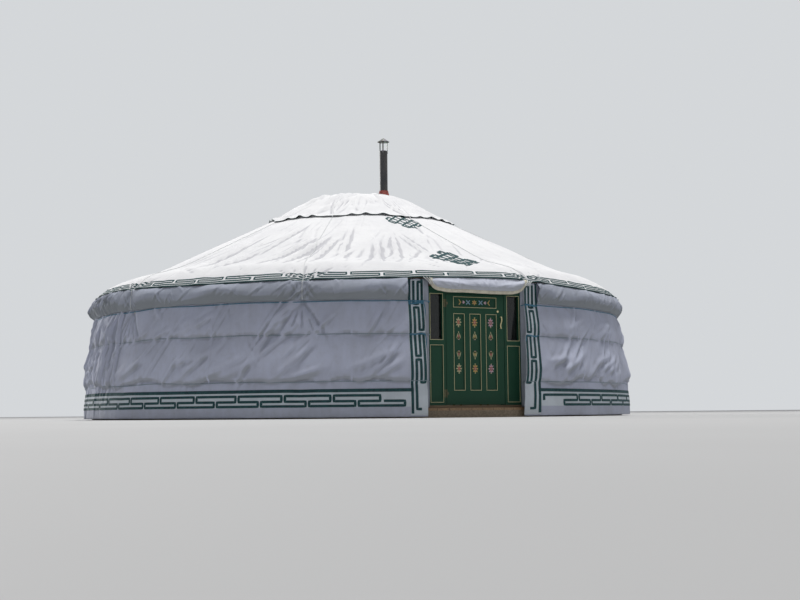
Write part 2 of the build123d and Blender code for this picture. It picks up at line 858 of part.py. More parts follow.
make_floor()
make_lattice()
make_wall_covers()
make_roof_covers()
make_skirt_and_valance()
make_roof_poles()
make_crown()
make_crown_cover()
make_crown_ties()
make_wall_ropes()
make_sidelights()
make_head_and_sill()
make_leaf()
make_hinges()
make_handle()
make_flue()
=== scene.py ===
# %% [markdown]
# # A yurt, dressed for its portrait
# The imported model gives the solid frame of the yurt: floor, lattice, poles, crown, covers and door.
# This notebook adds what makes it look real: canvas with folds and sewn borders, ropes, a painted
# door, weathered timber and a flue. Metres, +Z up, the door faces -Y.

# %% Load the frame
import math

import bmesh
import bpy
import numpy as np
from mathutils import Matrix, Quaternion, Vector


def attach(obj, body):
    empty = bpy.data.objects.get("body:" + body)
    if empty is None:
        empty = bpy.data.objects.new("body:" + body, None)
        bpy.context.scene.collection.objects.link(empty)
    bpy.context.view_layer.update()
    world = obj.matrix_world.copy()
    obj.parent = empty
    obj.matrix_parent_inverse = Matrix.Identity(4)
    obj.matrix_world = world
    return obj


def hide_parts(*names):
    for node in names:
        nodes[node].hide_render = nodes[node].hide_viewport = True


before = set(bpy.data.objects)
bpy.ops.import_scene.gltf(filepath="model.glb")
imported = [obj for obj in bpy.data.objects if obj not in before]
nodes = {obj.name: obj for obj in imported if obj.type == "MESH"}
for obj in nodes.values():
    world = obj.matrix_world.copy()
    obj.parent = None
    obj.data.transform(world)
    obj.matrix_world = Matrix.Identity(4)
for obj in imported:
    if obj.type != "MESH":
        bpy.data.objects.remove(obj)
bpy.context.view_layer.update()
print("frame:", len(nodes), "nodes")

# %% [markdown]
# A yurt is round, so places are easiest to give as an azimuth from the door, a radius and a height.
# Everything soft is computed with numpy arrays of these three and turned into x, y and z once.

# %% Round places
def place(azimuth, radius, height):
    """Points in space from azimuths in degrees, radii and heights."""
    turn = np.radians(azimuth)
    return np.stack(np.broadcast_arrays(radius * np.sin(turn), -radius * np.cos(turn), height), axis=-1)


def smooth_step(value, low, high):
    """0 below low, 1 above high, and a smooth rise between."""
    share = np.clip((value - low) / (high - low), 0.0, 1.0)
    return share * share * (3 - 2 * share)


def bell(value, middle, width):
    """1 at the middle, fading to both sides."""
    return np.exp(-((value - middle) / width) ** 2)


def through(value, knots):
    """A smooth curve through (place, height) knots, read at every value."""
    places, heights = np.array(knots, float).T
    slopes = np.gradient(heights, places)
    index = np.clip(np.searchsorted(places, value) - 1, 0, len(places) - 2)
    width = places[index + 1] - places[index]
    t = np.clip((value - places[index]) / width, 0.0, 1.0)
    start = (1 + 2 * t) * (1 - t) ** 2 * heights[index] + t * (1 - t) ** 2 * width * slopes[index]
    end = t * t * (3 - 2 * t) * heights[index + 1] + t * t * (t - 1) * width * slopes[index + 1]
    return start + end


def choose(*pieces):
    """Select these pieces alone, so that the next operator acts on no other; the first is active."""
    for piece in list(bpy.context.selected_objects):
        piece.select_set(False)
    for piece in pieces:
        piece.select_set(True)
    if pieces:
        bpy.context.view_layer.objects.active = pieces[0]


choose()
print("one metre out to the right is", place(90.0, 1.0, 0.0).round(3))

# %% [markdown]
# Cloth is a grid that is bent into place. The grid comes from Blender's own grid primitive, then each
# of its points is sent through a function of its two grid shares. Solidify gives the cloth its
# thickness. The UV map is laid out in metres, so weave and stitches keep their true size. Each point
# also stores how far it lies below the cloth round it and how far it looks down, so that the canvas
# can paint shade into its creases and onto its undersides. The sheet remembers its grid, so that
# borders, seams and cords can be laid on it and follow each fold.

# %% Sheets
# Scales of the masks that paint shade into the creases and onto the undersides of the canvas.
deep_hollow = 0.008
full_underside = 0.57


def hollows(grid, out, reach):
    """How deep each point of a grid lies below the mean of its neighbourhood, 1 for a deep hollow."""
    rows, columns = grid.shape[:2]
    padded = np.pad(grid, ((reach, reach), (reach, reach), (0, 0)), mode="reflect", reflect_type="odd")
    side = range(2 * reach + 1)
    mean = sum(padded[i:i + rows, j:j + columns] for i in side for j in side) / len(side) ** 2
    return np.clip(np.sum((mean - grid) * out, axis=2) / deep_hollow, -1.0, 1.0)


class Sheet:
    """A grid bent by shape(across, up), both from 0 to 1; its size on the flat is in metres."""

    def __init__(self, name, columns, rows, shape, size, thickness, offset=-1.0):
        choose()
        bpy.ops.mesh.primitive_grid_add(x_subdivisions=columns, y_subdivisions=rows, size=1.0)
        self.piece = bpy.context.active_object
        self.piece.name = name
        self.size = size
        mesh = self.piece.data
        flat = np.empty(len(mesh.vertices) * 3)
        mesh.vertices.foreach_get("co", flat)
        flat = flat.reshape(-1, 3)[:, :2] + 0.5
        points = shape(flat[:, 0], flat[:, 1]).astype(float)
        mesh.vertices.foreach_set("co", points.ravel())
        corner = np.empty(len(mesh.loops), int)
        mesh.loops.foreach_get("vertex_index", corner)
        mesh.uv_layers[0].data.foreach_set("uv", (flat[corner] * np.array(size)).ravel())
        self.grid = points.reshape(rows + 1, columns + 1, 3)
        out = np.cross(np.gradient(self.grid, axis=1), np.gradient(self.grid, axis=0))
        self.out = out / np.maximum(np.linalg.norm(out, axis=2, keepdims=True), 1e-9)
        # Masks for painted shade: how deep a point lies in a crease and how far it looks down.
        stored = {"hollow": hollows(self.grid, self.out, 2 if rows > 20 else 1),
                  "underside": np.clip(-self.out[:, :, 2] / full_underside, 0.0, 1.0)}
        for title, values in stored.items():
            mesh.attributes.new(title, "FLOAT", "POINT").data.foreach_set("value", values.ravel())
        mesh.update()
        bpy.ops.object.shade_smooth()
        if thickness:
            solid = self.piece.modifiers.new("thickness", "SOLIDIFY")
            solid.thickness = thickness
            solid.offset = offset
            bpy.ops.object.modifier_apply(modifier=solid.name)
        print(name, len(mesh.polygons), "faces")

    def at(self, across, up, lift=0.0):
        """Points on the sheet, lifted off its face."""
        rows, columns = self.grid.shape[0] - 1, self.grid.shape[1] - 1
        x = np.clip(np.asarray(across, float), 0, 1) * columns
        y = np.clip(np.asarray(up, float), 0, 1) * rows
        i = np.minimum(x.astype(int), columns - 1)
        j = np.minimum(y.astype(int), rows - 1)
        s, t = (x - i)[:, None], (y - j)[:, None]
        total = 0
        for dj, share_up in ((0, 1 - t), (1, t)):
            for di, share_across in ((0, 1 - s), (1, s)):
                spot = self.grid[j + dj, i + di] + self.out[j + dj, i + di] * lift
                total = total + share_across * share_up * spot
        return total


def close_round(piece):
    """Merge the two edges where a sheet that goes all the way round meets itself."""
    choose(piece)
    bpy.ops.object.mode_set(mode="EDIT")
    bpy.ops.mesh.select_all(action="SELECT")
    bpy.ops.mesh.remove_doubles(threshold=0.0005)
    bpy.ops.object.mode_set(mode="OBJECT")

# %% [markdown]
# Folds in hanging canvas are short soft ridges, each with a slack hollow beside it. A fold is stored
# as a line on the cloth with a width and a depth, and many of them are laid down at random places
# with a fixed seed. The few that matter, such as the pinches at the eave, are listed one by one.

# %% Folds
def fold_height(across, up, folds):
    """Height of the cloth above its plain shape, from a list of (x0, y0, x1, y1, width, depth)."""
    total = np.zeros_like(across)
    for x0, y0, x1, y1, width, depth in folds:
        length = math.hypot(x1 - x0, y1 - y0)
        near = (np.abs(across - (x0 + x1) / 2) < length / 2 + 4 * width)
        a, u = across[near], up[near]
        along = ((a - x0) * (x1 - x0) + (u - y0) * (y1 - y0)) / length ** 2
        aside = ((a - x0) * (y1 - y0) - (u - y0) * (x1 - x0)) / length
        fade = smooth_step(along, -0.05, 0.3) * (1 - smooth_step(along, 0.6, 1.05))
        ridge = bell(aside, 0.0, width) - 0.45 * bell(aside, 1.7 * width, width)
        total[near] += depth * fade * ridge
    return total


def random_folds(turn, *fields):
    """Seeded folds. A field is a seed, a count, its left and right in units of turn, its low and high
    edge, and (least, most) of the lean in degrees, the length, the width and the depth."""
    folds = []
    for seed, count, left, right, low, high, lean, length, width, depth in fields:
        dice = np.random.default_rng(seed)
        for _ in range(count):
            x, y = dice.uniform(left * turn, right * turn), dice.uniform(low, high)
            slant = math.radians(dice.uniform(*lean))
            reach = dice.uniform(*length) / 2
            dx, dy = reach * math.sin(slant), reach * math.cos(slant)
            folds.append((x - dx, y - dy, x + dx, y + dy, dice.uniform(*width), dice.uniform(*depth)))
    return folds


def ripple(azimuth, seed, waves, least=2, most=24):
    """A slow random wave round the yurt that closes on itself, between about -1 and 1."""
    dice = np.random.default_rng(seed)
    total = np.zeros_like(np.asarray(azimuth, float))
    for _ in range(waves):
        total = total + np.cos(np.radians(azimuth) * dice.integers(least, most) + dice.uniform(0, 6.283))
    return total / math.sqrt(waves)

# %% [markdown]
# The shape of the tent. Ropes draw the wall in, and the canvas is full between them. The eave wavers a
# little and is pinched where the roof cover is tied down. The roof is straight above the poles' knees
# and rounds over them.

# %% The tent's shape
eave_knots = [(-180, 1.600), (-110, 1.604), (-72, 1.611), (-60, 1.582), (-48, 1.572), (-36, 1.580),
              (-25, 1.584), (-13, 1.602), (0, 1.618), (9.5, 1.622), (15, 1.602), (22, 1.586), (60, 1.590),
              (110, 1.604), (180, 1.600)]
pinches = [(-72.4, 1.0), (-32.7, 1.0), (11.3, 0.8), (54.0, 0.9), (96.0, 0.8), (139.0, 0.9), (-176.0, 0.8),
           (-120.0, 0.9)]
rope_rows = {"upper": 1.330, "middle": 0.952, "lower": 0.415}
wall_knots = [(0.015, 3.800), (0.25, 3.786), (0.415, 3.764), (0.952, 3.704), (1.330, 3.651), (1.56, 3.648)]
wall_bags = ((0.415, 0.952, 0.040, 0.45), (0.952, 1.330, 0.027, 0.60), (0.015, 0.415, 0.006, 0.8))
roof_knots = [(0.4, 3.190), (2.4, 2.2076), (2.6, 2.1094), (2.8, 2.0085), (3.0, 1.922), (3.2, 1.862),
              (3.4, 1.797), (3.55, 1.703), (3.62, 1.645), (3.668, 1.600)]
door_left, door_right = 349.1, 9.9
eave_radius = 3.668
pole_count = 42


def pinch(azimuth, width):
    """1 at each pinch of the eave, fading over a width in degrees."""
    return sum(strength * bell((np.asarray(azimuth) - centre + 180) % 360 - 180, 0.0, width)
               for centre, strength in pinches)


def eave_height(azimuth):
    """Height of the eave's edge."""
    return through((np.asarray(azimuth) + 180) % 360 - 180, eave_knots) - 0.016 * pinch(azimuth, 1.3)


def wall_top(azimuth):
    """Height of the wall canvas's upper edge, just under the eave."""
    return eave_height(azimuth) - 0.014


def wall_radius(azimuth, height):
    """Radius of the wall canvas without its folds."""
    azimuth = np.asarray(azimuth, float)
    slow, quick = ripple(azimuth, 6, 4, 8, 24), ripple(azimuth, 3, 6, 20, 75)
    warp = (0.024 * quick + 0.030 * slow - 0.012) * bell(height, 0.45, 0.12)
    height = height + warp + 0.014 * ripple(azimuth, 4, 6, 20, 75) * bell(height, 0.96, 0.08)
    base = np.interp(height, *np.array(wall_knots).T)
    for low, high, fullness, sag in wall_bags:
        share = np.clip((height - low) / (high - low), 0.0, 1.0)
        fullest = sag / (sag + 1.15)
        bag = (share / fullest) ** sag * ((1 - share) / (1 - fullest)) ** 1.15
        base = base + fullness * (1 + 0.32 * ripple(azimuth, 5, 4, 3, 30)) * bag
    return base - 0.040 * np.clip((1.0 - height) / 0.9, 0.0, 1.0) * bell(azimuth, door_right, 4.5)


def roof_height(radius):
    """Height of the roof canvas without its folds."""
    slope = 1.913 + (3.0 - radius) * 0.491
    return np.where(radius < 2.6, slope, through(radius, roof_knots))


print("eave at the left, the door and the right:", eave_height(np.array([-90, 0, 90])).round(3))

# %% [markdown]
# Shader maths reads best as plain expressions. One small class wraps a socket and overloads the
# operators, and one method makes any other node.

# %% Finishes
class Signal:
    """A number that varies over the surface, made from a node's socket."""

    def __init__(self, finish, socket):
        self.finish = finish
        self.socket = socket

    def maths(self, operation, first, second):
        return self.finish.node("ShaderNodeMath", {"operation": operation}, {0: first, 1: second})

    def __add__(self, other):
        return self.maths("ADD", self, other)

    def __sub__(self, other):
        return self.maths("SUBTRACT", self, other)

    def __rsub__(self, other):
        return self.maths("SUBTRACT", other, self)

    def __mul__(self, other):
        return self.maths("MULTIPLY", self, other)

    __radd__ = __add__
    __rmul__ = __mul__

    def between(self, low, high):
        """0 below low, 1 above high, and a smooth rise between."""
        return self.finish.node("ShaderNodeMapRange", {"interpolation_type": "SMOOTHSTEP"},
                                {0: self, 1: low, 2: high, 3: 0.0, 4: 1.0})

    def above(self, level, blur):
        """0 below a level and 1 above it, with a soft edge."""
        return self.between(level - blur, level + blur)


class Finish:
    """A material that is built up node by node round one Principled shader."""

    def __init__(self, name, **constants):
        self.material = bpy.data.materials.new(name)
        self.material.use_nodes = True
        self.tree = self.material.node_tree
        self.shader = self.tree.nodes["Principled BSDF"]
        self.coordinates = self.tree.nodes.new("ShaderNodeTexCoord")
        for key, value in constants.items():
            self.set(key.replace("_", " "), value)

    def node(self, kind, settings, inputs, output=0):
        """Make any node: its settings first, then the values or links of its sockets."""
        made = self.tree.nodes.new(kind)
        for key, value in settings.items():
            setattr(made, key, value)
        for key, value in inputs.items():
            if isinstance(value, Signal):
                self.tree.links.new(value.socket, made.inputs[key])
            else:
                is_colour = made.inputs[key].type == "RGBA"
                made.inputs[key].default_value = (*value, 1.0) if is_colour else value
        return Signal(self, made.outputs[output])

    def where(self, scale=(1, 1, 1), uv=False):
        """The place on the surface, stretched to suit a pattern."""
        source = Signal(self, self.coordinates.outputs["UV" if uv else "Object"])
        return self.node("ShaderNodeMapping", {}, {"Vector": source, "Scale": scale})

    def noise(self, spot, scale, detail=4.0, rough=0.6):
        """Soft random blotches, from 0 to 1."""
        inputs = {"Vector": spot, "Scale": scale, "Detail": detail, "Roughness": rough}
        return self.node("ShaderNodeTexNoise", {}, inputs)

    def wave(self, spot, scale, direction="X"):
        """Regular bands, from 0 to 1."""
        inputs = {"Vector": spot, "Scale": scale}
        return self.node("ShaderNodeTexWave", {"bands_direction": direction}, inputs, output=1)

    def attribute(self, name):
        """A number that is stored on the points of the cloth."""
        return self.node("ShaderNodeAttribute", {"attribute_name": name}, {}, output=2)

    def mix(self, share, first, second):
        """Mix two colours by a share."""
        return self.node("ShaderNodeMix", {"data_type": "RGBA"}, {0: share, 6: first, 7: second}, output=2)

    def set(self, name, value):
        """Give the shader a value or a link."""
        if isinstance(value, Signal):
            self.tree.links.new(value.socket, self.shader.inputs[name])
        else:
            self.shader.inputs[name].default_value = value

    def colour(self, value):
        self.set("Base Color", value)

    def rough(self, value):
        self.set("Roughness", value)

    def bump(self, height, strength, distance):
        """Raise the surface by a pattern; distance is in metres."""
        inputs = {"Height": height, "Strength": strength, "Distance": distance}
        self.set("Normal", self.node("ShaderNodeBump", {}, inputs))

# %% [markdown]
# Proofed canvas is a plain weave, almost white, with soft grey blotches where water has dried, and
# faint streaks that run down. The wall is the same cloth, dirtier towards the hem. The wall, skirt,
# valance and border bands are coloured darker and bluer than the roof as painted open shade, and
# creases and undersides get painted shade as well.

# %% Canvas
def canvas(name, clean, worn, stain, crease_shade, dirty_hem, crease_shade_share=0.60, underside_shade_share=0.55):
    """Woven canvas: blotches, streaks, painted shade in creases and undersides, a dirty hem between two
    heights.
    """
    finish = Finish(name)
    here, cloth = finish.where(), finish.where(uv=True)
    blotch = finish.noise(here, 1.7, 5.0)
    fine = finish.noise(here, 14.0)
    streak = finish.noise(finish.where((9.0, 9.0, 0.7)), 1.0, 3.0)
    height = finish.node("ShaderNodeSeparateXYZ", {}, {0: here}, output=2)
    low = 1 - (height + fine * 0.12).between(*dirty_hem)
    tone = finish.mix(blotch.above(0.52, 0.14) * 0.6 + streak.above(0.55, 0.15) * 0.35, clean, worn)
    tone = finish.mix(low * (0.10 + fine * 0.45), tone, stain)
    tone = finish.mix(fine.above(0.62, 0.12) * 0.12, tone, stain)
    # Painted shade: cloth deep in a crease turns to the crease shade colour, and cloth that looks down to the
    # stain colour.
    tone = finish.mix(finish.attribute("hollow").above(0.42, 0.42) * crease_shade_share, tone, crease_shade)
    tone = finish.mix(finish.attribute("underside").above(0.38, 0.36) * underside_shade_share, tone, stain)
    finish.colour(tone)
    finish.rough(0.78 + blotch * 0.16)
    weave = finish.wave(cloth, 160.0, "X") * 0.5 + finish.wave(cloth, 160.0, "Y") * 0.5
    finish.bump(weave + finish.noise(cloth, 60.0, 3.0) * 1.2, 0.35, 0.0012)
    print(name, "has", len(finish.tree.nodes), "nodes")
    return finish.material


# Painted light and shade: the roof's canvas has the cloth's own near-white colour; the wall, skirt, valance
# and border bands get darker, bluer copies of it as painted open shade, the valance a little lighter where it
# catches more sky. The third colour serves both the dirt at the hem and the painted shade on undersides.
shaded_wall_cloth = canvas("wall_canvas", (0.57, 0.605, 0.745), (0.48, 0.505, 0.61), (0.26, 0.275, 0.275),
                    (0.31, 0.33, 0.40), (0.02, 0.42))
shaded_skirt_cloth = canvas("skirt_canvas", (0.44, 0.475, 0.57), (0.36, 0.385, 0.45), (0.22, 0.24, 0.245),
                     (0.20, 0.22, 0.26), (0.0, 0.1), underside_shade_share=0.75)
shaded_valance_cloth = canvas("valance_canvas", (0.70, 0.73, 0.85), (0.60, 0.63, 0.72), (0.36, 0.38, 0.40),
                       (0.36, 0.38, 0.44), (0.0, 0.1))
roof_cloth = canvas("roof_canvas", (0.88, 0.88, 0.89), (0.80, 0.80, 0.82), (0.55, 0.56, 0.54),
                    (0.42, 0.42, 0.46), (1.45, 1.75))
shaded_border_cloth = canvas("border_canvas", (0.66, 0.72, 0.78), (0.56, 0.61, 0.66), (0.36, 0.38, 0.36),
                      (0.34, 0.37, 0.40), (0.02, 0.30), crease_shade_share=0.50)

# %% [markdown]
# Tapes and cords are both swept along a line: rings of points that follow it are joined by faces. A
# tape has four points to a ring and lies flat on its cloth, a cord has eight and is round. A curve with
# a bevel could make them too, but here every point can be put exactly on the folded cloth.

# %% Swept pieces
def finer(line, step):
    """The points of a line, with more put in so that none is further than step from the next."""
    points = []
    for (x0, y0), (x1, y1) in zip(line, line[1:]):
        count = max(1, math.ceil(math.hypot(x1 - x0, y1 - y0) / step))
        points += [(x0 + (x1 - x0) * k / count, y0 + (y1 - y0) * k / count) for k in range(count)]
    return np.array(points + [line[-1]])


def from_rings(name, rings):
    """One mesh from several runs of rings of points; each run is an array (stations, sides, 3)."""
    vertices, faces, uvs = [], [], []
    start = 0
    for ring in rings:
        stations, sides = ring.shape[:2]
        vertices.append(ring.reshape(-1, 3))
        steps = np.linalg.norm(np.diff(ring.mean(axis=1), axis=0), axis=1)
        along = np.concatenate([[0], np.cumsum(steps)])
        for i in range(stations - 1):
            for k in range(sides):
                here, beside = start + i * sides + k, start + i * sides + (k + 1) % sides
                faces.append((here, beside, beside + sides, here + sides))
                low, high = k / sides, (k + 1) / sides
                uvs += [(along[i], low), (along[i], high), (along[i + 1], high), (along[i + 1], low)]
        faces.append(tuple(start + k for k in range(sides))[::-1])
        faces.append(tuple(start + (stations - 1) * sides + k for k in range(sides)))
        uvs += [(place_along, k / sides) for place_along in (0, along[-1]) for k in range(sides)]
        start += stations * sides
    mesh = bpy.data.meshes.new(name)
    mesh.from_pydata(np.concatenate(vertices).tolist(), [], faces)
    mesh.uv_layers.new(name="UVMap").data.foreach_set("uv", np.array(uvs, float).ravel())
    made = bmesh.new()
    made.from_mesh(mesh)
    bmesh.ops.recalc_face_normals(made, faces=made.faces)
    made.to_mesh(mesh)
    made.free()
    piece = bpy.data.objects.new(name, mesh)
    bpy.context.scene.collection.objects.link(piece)
    print(name, len(faces), "faces")
    return piece


def ribbon_rings(sheet, line, width, lift):
    """Rings of a flat tape sewn along a line on a sheet; the line is in metres on the flat cloth."""
    points = finer(line, 0.024)
    heading = np.gradient(points, axis=0)
    heading = heading / np.linalg.norm(heading, axis=1, keepdims=True)
    side = np.stack([-heading[:, 1], heading[:, 0]], axis=1) * width / 2
    ring = []
    for move, height in ((-1, lift), (1, lift), (1, -lift), (-1, -lift)):
        spot = (points + side * move) / np.array(sheet.size)
        ring.append(sheet.at(spot[:, 0], spot[:, 1], height))
    return np.stack(ring, axis=1)


def tube_rings(path, radius, sides):
    """Rings of a round cord along a path of points."""
    path = np.asarray(path, float)
    ahead = np.gradient(path, axis=0)
    ahead = ahead / np.linalg.norm(ahead, axis=1, keepdims=True)
    outwards = path[0] * (1, 1, 0)
    up = np.tile([0.0, 0.0, 1.0], (len(path), 1))
    up[np.abs(ahead[:, 2]) > 0.9] = outwards / max(1e-6, np.linalg.norm(outwards))
    right = np.cross(ahead, up)
    right = right / np.linalg.norm(right, axis=1, keepdims=True)
    top = np.cross(right, ahead)
    angle = (np.arange(sides) * 2 * math.pi / sides)[None, :, None]
    return path[:, None, :] + radius * (np.cos(angle) * right[:, None, :] + np.sin(angle) * top[:, None, :])


def smooth(piece):
    """Shade a piece smooth, except over sharp edges."""
    choose(piece)
    bpy.ops.object.shade_smooth_by_angle(angle=math.radians(40))


def dress(piece, material, body, slot, *nodes_replaced):
    """Give a piece its material and its body, and hide the nodes that it replaces; slot is not used."""
    piece.data.materials.clear()
    piece.data.materials.append(material)
    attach(piece, body)
    if nodes_replaced:
        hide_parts(*nodes_replaced)

# %% [markdown]
# The wall canvas is two wide sheets, lapped at the back. It hangs from under the eave, is drawn in by
# three ropes, and flares to a hem on the ground. Besides random folds it has the slack that shows on
# the left end, where the cloth is gathered, and the creases that run down from each pinch. Beside the
# door and along the hem the borders stiffen it, so its folds are shallow there.

# %% Wall canvas
wall_run = 3.72
wall_turn = math.radians(1) * wall_run
wall_foot, wall_rise = 0.015, 1.6
folds_of_wall = random_folds(
    wall_turn,
    (11, 260, 9, 351, 0.50, 1.40, (24, 52), (0.40, 1.00), (0.016, 0.036), (-0.006, 0.018)),
    (12, 80, 9, 351, 0.50, 1.40, (-50, -15), (0.20, 0.55), (0.016, 0.034), (-0.006, 0.012)),
    (13, 90, 9, 351, 0.02, 0.42, (-35, 35), (0.15, 0.4), (0.02, 0.04), (-0.005, 0.007)),
    (14, 120, 250, 284, 0.05, 1.45, (-8, 18), (0.40, 1.1), (0.016, 0.034), (-0.014, 0.030)),
    (15, 60, 60, 100, 0.10, 1.45, (-14, 14), (0.35, 0.9), (0.020, 0.045), (-0.012, 0.020)),
    (16, 60, 9, 351, 0.50, 0.72, (52, 80), (0.35, 0.80), (0.028, 0.050), (0.008, 0.022)),
    (17, 46, 9, 351, 1.00, 1.16, (52, 80), (0.30, 0.60), (0.024, 0.042), (0.006, 0.016)))
for centre, strength in pinches:
    x = (centre % 360) * wall_turn
    for lean in (-0.35, -0.16, 0.0, 0.18, 0.33):
        folds_of_wall.append((x, 1.36, x + lean * 0.9, 0.98 - abs(lean) * 0.2, 0.024, -0.020 * strength))


def door_pull(azimuth, height):
    """How far the edge right of the door is drawn towards it lower down, in degrees."""
    return 1.7 * np.clip((1.33 - height) / 1.3, 0.0, 1.0) * bell(azimuth, door_right, 6.0)


def fold_share(azimuth, height):
    """Folds are shallow beside the door and along the hem, where the borders stiffen the canvas."""
    from_edge = np.minimum(azimuth - door_right, door_left - azimuth)
    beside_door = 0.12 + 0.88 * smooth_step(from_edge, 2.4, 6.5)
    return beside_door * (0.35 + 0.65 * smooth_step(height, 0.24, 0.48))


def wall_shape(first, last, proud):
    """A function that bends a grid into the wall between two azimuths."""
    def shape(across, up):
        azimuth = first + across * (last - first)
        height = wall_foot + up * (wall_top(azimuth) - wall_foot)
        folded = fold_height(np.radians(azimuth) * wall_run, height, folds_of_wall)
        radius = wall_radius(azimuth, height) + folded * fold_share(azimuth, height) + proud
        radius = radius - 0.012 * pinch(azimuth, 0.9) * bell(height, 1.33, 0.2)
        radius = radius + 0.006 * ripple(azimuth, 21, 5, 15, 70) * (1 - smooth_step(height, 0.0, 0.3))
        return place(azimuth - door_pull(azimuth, height), radius, height)
    return shape


wall_sheets = []
print("the wall has", len(folds_of_wall), "folds")
for name, first, last, proud in (("wall_canvas_right", door_right, 181.2, 0.003),
                                 ("wall_canvas_left", 179.4, door_left, 0.0)):
    arc = math.radians(last - first) * wall_run
    sheet = Sheet(name, 560, 80, wall_shape(first, last, proud), (arc, wall_rise), 0.003)
    wall_sheets.append((sheet, first, last))
    dress(sheet.piece, shaded_wall_cloth, "structure", "wall_canvas")
wall_right, wall_left = (sheet.piece for sheet, first, last in wall_sheets)
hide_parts(*[f"wall_cover_{i}" for i in range(1, 7)])

# %% [markdown]
# The roof canvas is one cone of cloth over the poles. Its grid runs from the eave up to the crown, by
# length along the slope, so that the rows stay even over the rounded shoulder. The deep creases left
# of the door are listed: azimuth, low end, high end, lean, width and depth.

# %% Roof canvas
slope_radii = np.concatenate([np.linspace(0.715, 3.0, 60), np.linspace(3.02, 3.55, 40),
                              np.linspace(3.555, 3.668, 40)])
slope_steps = np.hypot(np.diff(slope_radii), np.diff(roof_height(slope_radii)))
slope_so_far = np.concatenate([[0], np.cumsum(slope_steps)])
slope_length = slope_so_far[-1]
slope_from_eave = slope_length - slope_so_far
roof_run = 3.0
roof_turn = math.radians(1) * roof_run
roof_creases = ((-40.0, 0.35, 1.70, 0.42, 0.040, 0.046), (-46.0, 0.40, 1.55, 0.50, 0.036, 0.040),
                (-34.0, 0.45, 1.60, 0.26, 0.032, 0.038), (-19.0, 0.35, 1.40, 0.10, 0.032, 0.040),
                (-55.0, 0.30, 1.30, 0.30, 0.032, 0.032), (-27.0, 0.80, 2.00, 0.10, 0.028, 0.028),
                (-62.0, 0.30, 1.90, 0.22, 0.034, 0.032), (-5.0, 0.95, 1.75, -0.20, 0.028, 0.026),
                (-14.0, 0.60, 1.80, 0.16, 0.026, 0.026), (-50.0, 0.90, 2.20, 0.30, 0.030, 0.028))
folds_of_roof = random_folds(
    roof_turn,
    (31, 90, -180, 180, 0.15, 2.6, (-16, 16), (0.45, 1.5), (0.020, 0.05), (-0.008, 0.010)),
    (32, 190, -180, 180, 0.12, 0.8, (15, 62), (0.12, 0.4), (0.014, 0.030), (-0.009, 0.010)),
    (33, 190, -180, 180, 0.12, 0.8, (-62, -15), (0.12, 0.4), (0.014, 0.030), (-0.009, 0.010)),
    (34, 70, -70, 10, 0.5, 2.2, (5, 35), (0.3, 0.9), (0.020, 0.040), (-0.010, 0.014)))
for azimuth, low, high, lean, width, depth in roof_creases:
    folds_of_roof.append((azimuth * roof_turn, low, azimuth * roof_turn + lean, high, width, depth))
for centre, strength in pinches:
    x = centre * roof_turn
    for lean in (-0.30, -0.15, 0.0, 0.15, 0.30):
        folds_of_roof.append((x, -0.06, x + lean, 0.34 - abs(lean) * 0.3, 0.020, -0.020 * strength))


def roof_shape(across, up):
    """Bends a grid into the roof."""
    azimuth = -180 + across * 360
    distance_up = up * slope_length
    radius = np.interp(distance_up, slope_from_eave[::-1], slope_radii[::-1])
    height = roof_height(radius)
    near_eave = 1 - smooth_step(distance_up, 0.0, 0.45)
    folded = fold_height(np.radians(azimuth) * roof_run, distance_up, folds_of_roof)
    lift = folded * smooth_step(radius, 0.7, 1.2)
    lift = lift + 0.003 * np.cos(np.radians(azimuth - 14.6) * pole_count) * smooth_step(radius, 0.8, 2.0)
    lift = lift - 0.016 * pinch(azimuth, 0.9) * (1 - smooth_step(distance_up, 0.0, 0.30))
    lift = lift + 0.005 * ripple(azimuth, 41, 6, 18, 80) * near_eave
    tilt = np.radians(np.interp(radius, [3.0, 3.4, 3.66], [26.5, 40.0, 70.0]))
    height = height + lift * np.cos(tilt) + (eave_height(azimuth) - 1.600) * near_eave
    return place(azimuth, radius + lift * np.sin(tilt), height)


print("the roof's slope is", round(slope_length, 3), "m long, with", len(folds_of_roof), "folds")
roof = Sheet("roof_canvas", 560, 104, roof_shape, (2 * math.pi * roof_run, slope_length), 0.0)
close_round(roof.piece)
dress(roof.piece, roof_cloth, "structure", "roof_canvas", *[f"roof_cover_{i}" for i in range(1, 7)])

# %% [markdown]
# The skirt hangs from the eave to the upper rope and hides the top of the wall. It is full, so it
# bulges over the rope, with slanting creases and a deep gather at each pinch.

# %% Eave skirt
skirt_first, skirt_last = 13.0, 346.1
folds_of_skirt = random_folds(
    wall_turn,
    (51, 260, 13, 346, 1.38, 1.58, (28, 58), (0.18, 0.38), (0.009, 0.020), (-0.004, 0.015)),
    (52, 110, 13, 346, 1.38, 1.58, (-50, -12), (0.12, 0.26), (0.009, 0.018), (-0.004, 0.012)),
    (53, 70, 250, 286, 1.36, 1.58, (5, 30), (0.18, 0.30), (0.012, 0.024), (0.006, 0.024)))
for centre, strength in pinches:
    x = (centre % 360) * wall_turn
    for lean in (-0.16, -0.07, 0.0, 0.08, 0.17):
        folds_of_skirt.append((x + lean, 1.34, x, 1.60, 0.018, -0.014 * strength))
        folds_of_skirt.append((x - lean * 0.9, 1.60, x, 1.36, 0.016, 0.009 * strength))


